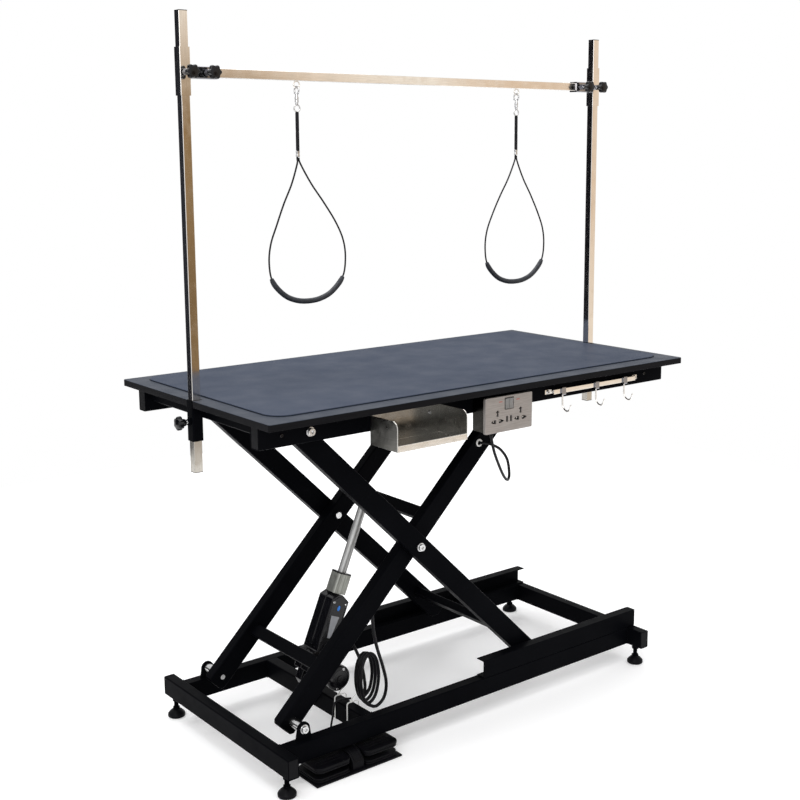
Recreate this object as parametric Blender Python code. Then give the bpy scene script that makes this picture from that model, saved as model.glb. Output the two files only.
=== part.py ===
"""Electric grooming table: a scissor lift on a levelling base, an H-shaped restraint bar,
tool tray, power sockets and hooks.  Metres, +Z up, long side along X, user side at -Y."""

import math

import bmesh
import bpy
from mathutils import Matrix, Vector

# ---------------------------------------------------------------- driving dimensions
GAP = 0.0003                      # clearance between touching solids
CENTRE_Y = 0.0185                 # the tabletop's centre line, so that the box is centred on the origin

TABLE_LENGTH = 1.250
TABLE_WIDTH = 0.646
TABLE_TOP = 0.8415
BOARD_THICKNESS = 0.0150
CORNER_RADIUS = 0.005
MAT_X = (-0.583, 0.598)
MAT_Y = (-0.275, 0.303)
MAT_TOP = 0.8443
MAT_CORNER = 0.045

TUBE_WALL = 0.002
RAIL_HEIGHT = 0.050
RAIL_WIDTH = 0.030
RAIL_OUTER_Y = 0.264
RAIL_HALF = 0.615

BEAM_BOTTOM = 0.050
BEAM_TOP = 0.0965
BEAM_OUTER_Y = 0.232
BEAM_WIDTH = 0.030
CROSS_BEAM_OUTER_X = 0.573
CROSS_BEAM_WIDTH = 0.028
CROSS_BEAM_HALF = 0.280
MOTOR_BEAM_X = -0.310

# scissor: the four arms cross at their middles
ARM_DEPTH = 0.050
ARM_END = 0.025
END_CHAMFER = 0.015
INNER_ARM_Y = (0.140, 0.168)
OUTER_ARM_Y = (0.170, 0.198)
PIVOT_X = -0.489
LOW_PIVOT_Z = 0.1195
HIGH_PIVOT_Z = 0.7990
HALF_SPAN = 0.3455
HALF_RISE = (HIGH_PIVOT_Z - LOW_PIVOT_Z) / 2
HALF_ARM = math.hypot(HALF_SPAN, HALF_RISE)
ARM_ANGLE = math.atan2(HALF_RISE, HALF_SPAN)
CENTRE_X = PIVOT_X + HALF_SPAN
CENTRE_Z = LOW_PIVOT_Z + HALF_RISE
ROLLER_X = PIVOT_X + 2 * HALF_SPAN
ROLLER_RADIUS = 0.0175
ROLLER_Y = (0.2080, 0.2265)

CHANNEL_WALL = 0.0028
CHANNEL_HEIGHT = 0.045
CHANNEL_Y = (0.2045, 0.2317)
CHANNEL_X = (0.026, 0.5725)

# linear actuator
ACTUATOR_LOW = Vector((-0.3335, 0.0, 0.1225))
ACTUATOR_HIGH = Vector((-0.1610, 0.0, 0.5290))
ACTUATOR_DIRECTION = (ACTUATOR_HIGH - ACTUATOR_LOW).normalized()
ACTUATOR_ANGLE = math.atan2(ACTUATOR_DIRECTION.z, ACTUATOR_DIRECTION.x)
ACTUATOR_LENGTH = (ACTUATOR_HIGH - ACTUATOR_LOW).length
MOTOR_OFFSET = 0.034
MOTOR_RADIUS = 0.031

# restraint bar
POST_X = 0.613
POST_SIDE = 0.020
POST_BOTTOM = 0.680
POST_TOP = 1.660
SLEEVE_SIDE = 0.0256
SLEEVE_BORE = 0.0212
SLEEVE_BOTTOM = 0.751
CLAMP_BORE = 0.0207
COLLAR_SIDE = 0.0244
COLLAR_BOTTOM = 1.487
COLLAR_TOP = 1.586
BAR_Z = 1.535
SOCKET_X = (0.5385, 0.6017)
SOCKET_SIDE = 0.0262
STAR_RADIUS = 0.0155
NOOSE_X = 0.333
STAR_X = (0.611, 0.560)           # knob centres on the collar and on the bar's socket
KNOB_SIDES = 24
SLEEVE_KNOB_Z = 0.794
STUD_HOLE = 0.0034
EYE_RADIUS = 0.0075
EYE_WIRE = 0.0016
EYE_LOW_Z = BAR_Z - POST_SIDE / 2 - 2 * EYE_RADIUS - 0.0006

# accessories on the front rail
TRAY_X = (-0.335, -0.141)
TRAY_Y = (-0.360, -0.2643)
TRAY_Z = (0.747, 0.806)
TRAY_CORNER = 0.016
TRAY_LIP = 0.013
SHEET = 0.0012
PLATE_CENTRE = (0.028, 0.775)
PLATE_SIZE = (0.146, 0.084)
PLATE_FACE_Y = -0.312
HOOK_RAIL_X = (0.187, 0.515)
HOOK_RAIL_Z = 0.796
HOOK_X = (0.236, 0.353, 0.456)

FOOT_X = 0.558
FOOT_Y = 0.250
SIDES = (1, -1)

MATERIALS = {
    "black_paint": ((0.012, 0.013, 0.016), 0.38, 0.0),
    "black_plastic": ((0.015, 0.015, 0.017), 0.45, 0.0),
    "black_rubber": ((0.018, 0.018, 0.019), 0.8, 0.0),
    "board": ((0.014, 0.014, 0.016), 0.5, 0.0),
    "mat_rubber": ((0.070, 0.085, 0.110), 0.7, 0.0),
    "chrome": ((0.78, 0.76, 0.73), 0.12, 1.0),
    "zinc": ((0.68, 0.68, 0.66), 0.3, 1.0),
    "stainless": ((0.55, 0.53, 0.50), 0.32, 1.0),
    "satin_plate": ((0.58, 0.54, 0.50), 0.35, 1.0),
    "grey_aluminium": ((0.52, 0.52, 0.52), 0.4, 1.0),
    "grey_plastic": ((0.36, 0.37, 0.38), 0.5, 0.0),
}


# ---------------------------------------------------------------- building blocks
def clear_scene():
    for item in list(bpy.data.objects):
        bpy.data.objects.remove(item, do_unlink=True)


def make_material(name):
    colour, roughness, metallic = MATERIALS[name]
    material = bpy.data.materials.get(name)
    if material is None:
        material = bpy.data.materials.new(name)
        material.use_nodes = True
        shader = material.node_tree.nodes["Principled BSDF"]
        shader.inputs["Base Color"].default_value = (*colour, 1.0)
        shader.inputs["Roughness"].default_value = roughness
        shader.inputs["Metallic"].default_value = metallic
        material.diffuse_color = (*colour, 1.0)
    return material


def make_root():
    root = bpy.data.objects.new("table_centre", None)
    root.location = (0, CENTRE_Y, 0)
    bpy.context.collection.objects.link(root)
    return root


def finish_node(name, mesh_builder, material, origin=(0, 0, 0), rotation=None, smooth=False):
    """Turn a bmesh into a placed and named object.

    Without a rotation the shape was drawn in the table's frame and is moved to its own origin;
    with one it was drawn about its origin, and the object turns it."""
    if rotation is None:
        bmesh.ops.translate(mesh_builder, verts=mesh_builder.verts, vec=-Vector(origin))
    bmesh.ops.recalc_face_normals(mesh_builder, faces=mesh_builder.faces)
    mesh = bpy.data.meshes.new(name)
    mesh_builder.to_mesh(mesh)
    mesh_builder.free()
    mesh.materials.append(make_material(material))
    if smooth:
        mesh.shade_smooth()
        mesh.set_sharp_from_angle(angle=math.radians(35))
    item = bpy.data.objects.new(name, mesh)
    item.location = origin
    item.rotation_euler = rotation or (0, 0, 0)
    item.parent = bpy.data.objects["table_centre"]
    bpy.context.collection.objects.link(item)
    return item


def combine(item, helper, operation):
    modifier = item.modifiers.new(f"{operation.lower()}_{helper.name}", "BOOLEAN")
    modifier.operation = operation
    modifier.solver = "EXACT"
    modifier.use_self = True
    modifier.object = helper


def make_helper(name, mesh_builder, origin=(0, 0, 0), rotation=None):
    """Hidden shape that a Boolean adds to a piece or takes from it."""
    helper = finish_node(name, mesh_builder, "black_plastic", origin, rotation)
    helper.hide_render = True
    helper.display_type = "WIRE"
    return helper


def cut(item, name, mesh_builder, rotation=None):
    origin = item.location if rotation else (0, 0, 0)
    combine(item, make_helper(name, mesh_builder, origin, rotation), "DIFFERENCE")


def weld(item, name, mesh_builder, rotation=None):
    origin = item.location if rotation else (0, 0, 0)
    combine(item, make_helper(name, mesh_builder, origin, rotation), "UNION")


def add_box(target, low, high):
    size = [b - a for a, b in zip(low, high)]
    middle = [(a + b) / 2 for a, b in zip(low, high)]
    matrix = Matrix.Translation(middle) @ Matrix.Diagonal((*size, 1))
    return bmesh.ops.create_cube(target, size=1.0, matrix=matrix)["verts"]


def to_axis(axis):
    """Rotation that turns local +Z into the named axis."""
    return Vector((0, 0, 1)).rotation_difference(Vector(axis)).to_matrix().to_4x4()


def add_round(target, start, axis, radius, length, sides=24, radius_end=None):
    """Cylinder or cone frustum from start along axis."""
    direction = Vector(axis).normalized()
    end_radius = radius if radius_end is None else radius_end
    middle = Vector(start) + direction * (length / 2)
    matrix = Matrix.Translation(middle) @ to_axis(direction)
    made = bmesh.ops.create_cone(target, cap_ends=True, segments=sides, radius1=radius,
                                 radius2=end_radius, depth=length, matrix=matrix)
    return made["verts"]


def add_prism(target, outline, low, high, place):
    """Extrude a flat outline from low to high; place(a, b, t) gives the 3-D point."""
    bottom = [target.verts.new(place(a, b, low)) for a, b in outline]
    top = [target.verts.new(place(a, b, high)) for a, b in outline]
    count = len(outline)
    target.faces.new(bottom)
    target.faces.new(top)
    for i in range(count):
        j = (i + 1) % count
        target.faces.new((bottom[i], bottom[j], top[j], top[i]))
    return bottom + top


def along_x(a, b, t):
    return (t, a, b)


def along_y(a, b, t):
    return (a, t, b)


def along_z(a, b, t):
    return (a, b, t)


def add_ringed_prism(target, outer, inner, low, high, place):
    """Extrude the band between two outlines that have the same number of points."""
    levels = []
    for t in (low, high):
        levels.append([[target.verts.new(place(a, b, t)) for a, b in line]
                       for line in (outer, inner)])
    count = len(outer)
    for i in range(count):
        j = (i + 1) % count
        (out0, in0), (out1, in1) = levels
        target.faces.new((out0[i], out0[j], out1[j], out1[i]))
        target.faces.new((in0[i], in0[j], in1[j], in1[i]))
        target.faces.new((out0[i], out0[j], in0[j], in0[i]))
        target.faces.new((out1[i], out1[j], in1[j], in1[i]))


def rectangle(a0, a1, b0, b1):
    return [(a0, b0), (a1, b0), (a1, b1), (a0, b1)]


def add_tube(target, a_range, b_range, t_range, place, wall=TUBE_WALL):
    """Rectangular hollow section, open at both ends."""
    outer = rectangle(*a_range, *b_range)
    inner = rectangle(a_range[0] + wall, a_range[1] - wall, b_range[0] + wall, b_range[1] - wall)
    add_ringed_prism(target, outer, inner, *t_range, place)


def arc(centre, radius, start, stop, steps):
    """Points of an arc, angles in degrees."""
    points = []
    for i in range(steps + 1):
        angle = math.radians(start + (stop - start) * i / steps)
        points.append((centre[0] + radius * math.cos(angle), centre[1] + radius * math.sin(angle)))
    return points


def round_rectangle(half_a, half_b, radius, steps, centre=(0.0, 0.0)):
    points = []
    for index, (sa, sb) in enumerate(((1, 1), (-1, 1), (-1, -1), (1, -1))):
        middle = (centre[0] + sa * (half_a - radius), centre[1] + sb * (half_b - radius))
        points += arc(middle, radius, 90 * index, 90 * index + 90, steps)
    return points


def circle(centre, radius, steps, start=0.0):
    return arc(centre, radius, start, start + 360 - 360 / steps, steps - 1)


def add_turned(target, profile, start, axis, sides):
    """Solid of revolution: profile holds (radius, height) pairs, first and last on the axis or not."""
    matrix = Matrix.Translation(start) @ to_axis(axis)
    rings = []
    for radius, height in profile:
        if radius < 1e-6:
            rings.append([target.verts.new(matrix @ Vector((0, 0, height)))])
            continue
        ring = []
        for i in range(sides):
            angle = 2 * math.pi * i / sides
            ring.append(target.verts.new(matrix @ Vector((radius * math.cos(angle),
                                                          radius * math.sin(angle), height))))
        rings.append(ring)
    closed = len(rings[0]) > 1
    pairs = list(zip(rings, rings[1:]))
    if closed:
        pairs.append((rings[-1], rings[0]))
    for lower, upper in pairs:
        for i in range(sides):
            j = (i + 1) % sides
            face = [lower[i % len(lower)], lower[j % len(lower)],
                    upper[j % len(upper)], upper[i % len(upper)]]
            target.faces.new(list(dict.fromkeys(face)))


def bolt_profile(start, collar, face, inner_head=None):
    """Turned profile of a pivot bolt, as (radius, distance from the middle plane)."""
    profile = []
    if inner_head:
        profile += [(0, inner_head), (HEAD_RADIUS, inner_head), (HEAD_RADIUS, start)]
    else:
        profile += [(0, start)]
    profile.append((PIN_RADIUS, start))
    if collar:
        profile += [(PIN_RADIUS, collar[0]), (BUSH_RADIUS, collar[0]), (BUSH_RADIUS, collar[1]),
                    (PIN_RADIUS, collar[1])]
    seat = face + WASHER_DEPTH
    top = seat + HEAD_DEPTH
    profile += [(PIN_RADIUS, face), (WASHER_RADIUS, face), (WASHER_RADIUS, seat),
                (HEAD_RADIUS, seat), (HEAD_RADIUS, top), (0, top)]
    return profile


def make_bolt(name, x, z, side, profile, origin):
    bolt = bmesh.new()
    add_turned(bolt, profile, (x, 0, z), (0, side, 0), 12)
    finish_node(name, bolt, "zinc", origin=origin, smooth=True)


def add_loft(target, rings):
    """Solid through rings of equal count, capped at both ends."""
    built = [[target.verts.new(point) for point in ring] for ring in rings]
    count = len(built[0])
    for lower, upper in zip(built, built[1:]):
        for i in range(count):
            j = (i + 1) % count
            target.faces.new((lower[i], lower[j], upper[j], upper[i]))
    target.faces.new(built[0])
    target.faces.new(built[-1])


def smooth_points(points, spacing):
    """Evenly spaced points on the smooth (Catmull-Rom) curve through hand-chosen route points."""
    route = [Vector(p) for p in points]
    route = [2 * route[0] - route[1]] + route + [2 * route[-1] - route[-2]]
    steps = 24
    fine = []
    for p0, p1, p2, p3 in zip(route, route[1:], route[2:], route[3:]):
        for k in range(steps):
            t = k / steps
            fine.append(0.5 * (2 * p1 + (p2 - p0) * t + (2 * p0 - 5 * p1 + 4 * p2 - p3) * t ** 2
                               + (3 * p1 - p0 - 3 * p2 + p3) * t ** 3))
    fine.append(route[-2].copy())
    lengths = [0.0]
    for a, b in zip(fine, fine[1:]):
        lengths.append(lengths[-1] + (b - a).length)
    count = max(3, round(lengths[-1] / spacing))
    chosen = []
    k = 0
    for i in range(count + 1):
        wanted = lengths[-1] * i / count
        while k < len(fine) - 2 and lengths[k + 1] < wanted:
            k += 1
        step = max(lengths[k + 1] - lengths[k], 1e-9)
        chosen.append(fine[k].lerp(fine[k + 1], min(1.0, (wanted - lengths[k]) / step)))
    return chosen


def add_wire(target, points, radius, sides=8):
    """Round wire swept through points, its section carried along without twist."""
    places = [Vector(p) for p in points]
    side = None
    rings = []
    for i, place in enumerate(places):
        before = places[max(i - 1, 0)]
        after = places[min(i + 1, len(places) - 1)]
        heading = (after - before).normalized()
        if side is None:
            side = heading.orthogonal().normalized()
        side = (side - heading * side.dot(heading)).normalized()
        up = heading.cross(side)
        ring = []
        for k in range(sides):
            angle = 2 * math.pi * k / sides
            outward = math.cos(angle) * side + math.sin(angle) * up
            ring.append(target.verts.new(place + radius * outward))
        rings.append(ring)
    for lower, upper in zip(rings, rings[1:]):
        for k in range(sides):
            j = (k + 1) % sides
            target.faces.new((lower[k], lower[j], upper[j], upper[k]))
    target.faces.new(rings[0])
    target.faces.new(rings[-1])


def add_ring(target, centre, radius, wire, axis, sides=16, section=6):
    """Closed ring of round wire about an axis."""
    matrix = Matrix.Translation(centre) @ to_axis(axis)
    rings = []
    for i in range(sides):
        turn = 2 * math.pi * i / sides
        outward = Vector((math.cos(turn), math.sin(turn), 0))
        ring = []
        for k in range(section):
            angle = 2 * math.pi * k / section
            point = outward * (radius + wire * math.cos(angle)) + Vector((0, 0, wire * math.sin(angle)))
            ring.append(target.verts.new(matrix @ point))
        rings.append(ring)
    for i in range(sides):
        lower = rings[i]
        upper = rings[(i + 1) % sides]
        for k in range(section):
            j = (k + 1) % section
            target.faces.new((lower[k], lower[j], upper[j], upper[k]))


def make_cord(name, chosen, radius, material, resolution=2, origin=(0, 0, 0)):
    """Plain round tube along the points."""
    curve = bpy.data.curves.new(name, "CURVE")
    curve.dimensions = "3D"
    curve.bevel_depth = radius
    curve.bevel_resolution = resolution
    curve.use_fill_caps = True
    spline = curve.splines.new("POLY")
    spline.points.add(len(chosen) - 1)
    for knot, place in zip(spline.points, chosen):
        knot.co = (*(place - Vector(origin)), 1)
    curve.materials.append(make_material(material))
    item = bpy.data.objects.new(name, curve)
    item.location = origin
    item.parent = bpy.data.objects["table_centre"]
    bpy.context.collection.objects.link(item)
    return item


# ---------------------------------------------------------------- base
HOLE_RADIUS = 0.0064
PIN_RADIUS = 0.0060
BUSH_RADIUS = 0.0115
HEAD_RADIUS = 0.0085
WASHER_RADIUS = 0.0105
WASHER_DEPTH = 0.0015
HEAD_DEPTH = 0.0060
BOLT_TAIL = 0.0025                # how far a pivot bolt sticks out inside the arm
LUG_Y = (0.2100, 0.2160)
BITE = 0.001                      # how far a welded piece reaches into its neighbour's wall
PIVOTS = {"low_pivot": (PIVOT_X, LOW_PIVOT_Z), "centre_pivot": (CENTRE_X, CENTRE_Z),
          "high_pivot": (PIVOT_X, HIGH_PIVOT_Z)}


def add_pair(target, y_range, x_range, z_range):
    for side in SIDES:
        span = sorted((side * y_range[0], side * y_range[1]))
        add_box(target, (x_range[0], span[0], z_range[0]), (x_range[1], span[1], z_range[1]))


def cut_pivot_holes(item, *names):
    """Round holes along Y on the named pivots, through every wall of the piece."""
    holes = bmesh.new()
    for name in names:
        x, z = PIVOTS[name]
        for side in SIDES:
            add_round(holes, (x, side * 0.120, z), (0, side, 0), HOLE_RADIUS, 0.180, 16)
    cut(item, f"{item.name}_holes", holes)


def make_base_frame():
    """Welded frame of rectangular tubes with the pivot lugs and the actuator's fork."""
    inner_y = BEAM_OUTER_Y - BEAM_WIDTH
    inner_x = CROSS_BEAM_OUTER_X - CROSS_BEAM_WIDTH
    height = (BEAM_BOTTOM, BEAM_TOP)
    motor_x = (MOTOR_BEAM_X - 0.015, MOTOR_BEAM_X + 0.015)
    outside = bmesh.new()
    add_pair(outside, (inner_y, BEAM_OUTER_Y), (-inner_x - 0.010, inner_x + 0.010), height)
    for side in SIDES:
        span = sorted((side * inner_x, side * CROSS_BEAM_OUTER_X))
        add_box(outside, (span[0], -CROSS_BEAM_HALF, BEAM_BOTTOM), (span[1], CROSS_BEAM_HALF, BEAM_TOP))
    add_box(outside, (motor_x[0], -inner_y - BITE, BEAM_BOTTOM), (motor_x[1], inner_y + BITE, BEAM_TOP))
    frame = finish_node("base_frame", outside, "black_paint")

    wall = TUBE_WALL
    hollow = bmesh.new()
    low, high = BEAM_BOTTOM + wall, BEAM_TOP - wall
    add_pair(hollow, (inner_y + wall, BEAM_OUTER_Y - wall), (-inner_x - 0.012, inner_x + 0.012),
             (low, high))
    for side in SIDES:
        span = sorted((side * (inner_x + wall), side * (CROSS_BEAM_OUTER_X - wall)))
        add_box(hollow, (span[0], -CROSS_BEAM_HALF - 0.01, low),
                (span[1], CROSS_BEAM_HALF + 0.01, high))
    add_box(hollow, (motor_x[0] + wall, -inner_y - 0.01, low), (motor_x[1] - wall, inner_y + 0.01, high))
    cut(frame, "base_frame_hollow", hollow)

    brackets = bmesh.new()
    foot = BEAM_TOP - BITE
    low_pin = ACTUATOR_LOW
    for side in SIDES:
        outline = [(PIVOT_X + 0.020, foot)] + arc((PIVOT_X, LOW_PIVOT_Z), 0.016, 0, 180, 8)
        outline.append((PIVOT_X - 0.020, foot))
        add_prism(brackets, outline, side * LUG_Y[0], side * LUG_Y[1], along_y)
        fork = [(motor_x[0] + BITE, 0.060), (motor_x[0] + BITE, foot), (motor_x[0] + 0.014, foot)]
        fork += arc((low_pin.x, low_pin.z), 0.015, 20, 200, 8) + [(-0.3490, 0.080)]
        add_prism(brackets, fork, side * 0.0128, side * 0.0170, along_y)
    add_round(brackets, (low_pin.x, -0.0200, low_pin.z), (0, 1, 0), PIN_RADIUS, 0.0400, 16)
    weld(frame, "base_brackets", brackets)
    cut_pivot_holes(frame, "low_pivot")


def channel_outline(side, outer_y, bottom):
    """C section, open towards the middle of the table."""
    y0 = side * (outer_y - (CHANNEL_Y[1] - CHANNEL_Y[0]))
    y1 = side * outer_y
    web = side * (outer_y - CHANNEL_WALL)
    top = bottom + CHANNEL_HEIGHT
    return [(y0, bottom), (y1, bottom), (y1, top), (y0, top), (y0, top - CHANNEL_WALL),
            (web, top - CHANNEL_WALL), (web, bottom + CHANNEL_WALL), (y0, bottom + CHANNEL_WALL)]


def make_floor_channels():
    for side, word in ((-1, "front"), (1, "back")):
        channel = bmesh.new()
        add_prism(channel, channel_outline(side, CHANNEL_Y[1], BEAM_TOP + GAP), *CHANNEL_X, along_x)
        finish_node(f"floor_channel_{word}", channel, "black_paint")


def make_low_pivot_bolts():
    for side, word in ((-1, "front"), (1, "back")):
        bush = (INNER_ARM_Y[1] + 0.0005, LUG_Y[0] - GAP)
        profile = bolt_profile(INNER_ARM_Y[0] - BOLT_TAIL, bush, LUG_Y[1] + GAP)
        make_bolt(f"low_pivot_bolt_{word}", PIVOT_X, LOW_PIVOT_Z, side, profile, INNER_ORIGIN)


FOOT_PROFILE = ((0.0, 0.0), (0.0190, 0.0), (0.0210, 0.0020), (0.0210, 0.0080), (0.0150, 0.0150),
                (0.0085, 0.0190), (0.0055, 0.0195), (0.0055, 0.0400), (0.0095, 0.0401),
                (0.0095, 0.0496), (0.0, 0.0496))


def make_feet():
    for x, x_name in ((-1, "left"), (1, "right")):
        for y, y_name in ((-1, "front"), (1, "back")):
            foot = bmesh.new()
            place = (x * FOOT_X, y * FOOT_Y, 0)
            add_turned(foot, FOOT_PROFILE, place, (0, 0, 1), 18)
            finish_node(f"foot_{y_name}_{x_name}", foot, "black_plastic", origin=place, smooth=True)


# foot switch: a low housing with two treadles, lying under the front beam
SWITCH_X = (-0.4920, -0.2560)
SWITCH_Y = (-0.2680, -0.1700)
PEDAL_TOP = 0.0400
PEDAL_BOTTOM = 0.0270
PEDAL_AXIS = (-0.1800, 0.0300)
PEDALS = (("pedal_left", -0.4870, -0.3930), ("pedal_right", -0.3550, -0.2610))
ARCH_X = (-0.3905, -0.3575)


def make_foot_switch():
    plate = bmesh.new()
    add_box(plate, (SWITCH_X[0], SWITCH_Y[0], 0.0006), (SWITCH_X[1], SWITCH_Y[1], 0.0050))
    base = finish_node("foot_switch_base", plate, "black_plastic")
    upper = bmesh.new()
    for _, x0, x1 in PEDALS:
        add_box(upper, (x0 + 0.003, -0.2560, 0.0040), (x1 - 0.003, -0.1760, 0.0150))
    outline = [(-0.2600, 0.0040), (-0.1720, 0.0040), (-0.1720, 0.0300), (-0.1800, 0.0390),
               (-0.1950, 0.0440), (-0.2150, 0.0455), (-0.2350, 0.0430), (-0.2500, 0.0340),
               (-0.2600, 0.0200)]
    add_prism(upper, outline, ARCH_X[0] + 0.001, ARCH_X[1] - 0.001, along_x)
    weld(base, "foot_switch_upper", upper)

    for name, x0, x1 in PEDALS:
        pedal = bmesh.new()
        outline = [(-0.2630, PEDAL_BOTTOM + 0.001), (-0.2620, PEDAL_BOTTOM), (-0.1760, PEDAL_BOTTOM),
                   (-0.1745, 0.0330), (-0.1800, PEDAL_TOP - 0.001), (-0.1900, PEDAL_TOP),
                   (-0.2560, PEDAL_TOP - 0.003), (-0.2640, PEDAL_TOP - 0.006)]
        add_prism(pedal, outline, x0, x1, along_x)
        origin = ((x0 + x1) / 2, *PEDAL_AXIS)
        finish_node(name, pedal, "black_plastic", origin=origin)


# ---------------------------------------------------------------- scissor arms
INNER_ROTATION = (0, -ARM_ANGLE, 0)
OUTER_ROTATION = (0, ARM_ANGLE, 0)
INNER_ORIGIN = (PIVOT_X, 0, LOW_PIVOT_Z)
OUTER_ORIGIN = (CENTRE_X, 0, CENTRE_Z)
LOWER_TUBE_AT = 0.135
UPPER_TUBE_AT = HALF_ARM + 0.078
OUTER_TUBE_AT = 0.400
TUBE_U = 0.015
TUBE_N = 0.010
SPIGOT_END = 0.2278


def make_arm_frame(name, y_range, start, stop, tubes, origin, rotation):
    """A pair of arms of rectangular tube, welded together by cross tubes."""
    half = ARM_DEPTH / 2
    wall = TUBE_WALL
    inner = y_range[0]
    outside = bmesh.new()
    hollow = bmesh.new()
    flat = half - END_CHAMFER
    outline = [(start, -flat), (start + END_CHAMFER, -half), (stop - END_CHAMFER, -half), (stop, -flat),
               (stop, flat), (stop - END_CHAMFER, half), (start + END_CHAMFER, half), (start, flat)]
    for side in SIDES:
        add_prism(outside, outline, side * y_range[0], side * y_range[1], along_y)
    add_pair(hollow, (inner + wall, y_range[1] - wall), (start - 0.01, stop + 0.01),
             (-half + wall, half - wall))
    for place in tubes:
        add_box(outside, (place - TUBE_U, -inner - BITE, -TUBE_N),
                (place + TUBE_U, inner + BITE, TUBE_N))
        add_box(hollow, (place - TUBE_U + wall, -inner - 0.01, -TUBE_N + wall),
                (place + TUBE_U - wall, inner + 0.01, TUBE_N - wall))
    frame = finish_node(name, outside, "black_paint", origin, rotation)
    cut(frame, f"{name}_hollow", hollow, rotation)
    return frame


def add_spigots(target, x, z, wall_y):
    """Stub axles welded to the arms' outer faces, on which the rollers turn."""
    start = wall_y - BITE
    for side in SIDES:
        add_round(target, (x, side * start, z), (0, side, 0), PIN_RADIUS, SPIGOT_END - start, 16)


def make_inner_frame():
    frame = make_arm_frame("inner_arm_frame", INNER_ARM_Y, -ARM_END, 2 * HALF_ARM + ARM_END,
                           (LOWER_TUBE_AT, UPPER_TUBE_AT), INNER_ORIGIN, INNER_ROTATION)
    spigots = bmesh.new()
    add_spigots(spigots, ROLLER_X, HIGH_PIVOT_Z, INNER_ARM_Y[1])
    weld(frame, "upper_spigots", spigots)
    bracket = bmesh.new()
    eye = inner_arm_point(ACTUATOR_HIGH)
    foot = UPPER_TUBE_AT - TUBE_U + BITE
    outline = [(foot, -0.008), (foot, 0.008)] + arc(eye, 0.016, 20, 220, 8)
    for side in SIDES:
        add_prism(bracket, outline, side * 0.0140, side * 0.0180, along_y)
    weld(frame, "rod_bracket", bracket, INNER_ROTATION)
    cut_pivot_holes(frame, "low_pivot", "centre_pivot")


def inner_arm_point(place):
    """A world point in the inner arms' own frame (along, above)."""
    step = Vector(place) - Vector(INNER_ORIGIN)
    along = step.x * math.cos(ARM_ANGLE) + step.z * math.sin(ARM_ANGLE)
    above = step.z * math.cos(ARM_ANGLE) - step.x * math.sin(ARM_ANGLE)
    return along, above


def make_outer_frame():
    reach = HALF_ARM + ARM_END
    frame = make_arm_frame("outer_arm_frame", OUTER_ARM_Y, -reach, reach, (OUTER_TUBE_AT,),
                           OUTER_ORIGIN, OUTER_ROTATION)
    spigots = bmesh.new()
    add_spigots(spigots, ROLLER_X, LOW_PIVOT_Z, OUTER_ARM_Y[1])
    weld(frame, "lower_spigots", spigots)
    cut_pivot_holes(frame, "high_pivot", "centre_pivot")
    for side, word in ((-1, "front"), (1, "back")):
        start = INNER_ARM_Y[0] - 0.0005
        profile = bolt_profile(start, None, OUTER_ARM_Y[1] + GAP, inner_head=start - HEAD_DEPTH)
        make_bolt(f"centre_bolt_{word}", CENTRE_X, CENTRE_Z, side, profile, OUTER_ORIGIN)


def make_rollers():
    for level, z in (("lower", LOW_PIVOT_Z), ("upper", HIGH_PIVOT_Z)):
        for side, word in ((-1, "front"), (1, "back")):
            roller = bmesh.new()
            origin = (ROLLER_X, 0, z)
            outer = circle((ROLLER_X, z), ROLLER_RADIUS, 20)
            inner = circle((ROLLER_X, z), HOLE_RADIUS, 20)
            add_ringed_prism(roller, outer, inner, side * ROLLER_Y[0], side * ROLLER_Y[1], along_y)
            finish_node(f"roller_{level}_{word}", roller, "grey_plastic", origin, smooth=True)


# ---------------------------------------------------------------- linear actuator
ACTUATOR_ROTATION = (0, -ACTUATOR_ANGLE, 0)
HOUSING_END = 0.200
OUTER_TUBE_END = 0.2640
ROD_RADIUS = 0.0105
ROD_BORE_START = 0.145            # the rod backs down to here when the table is lowered


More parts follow.
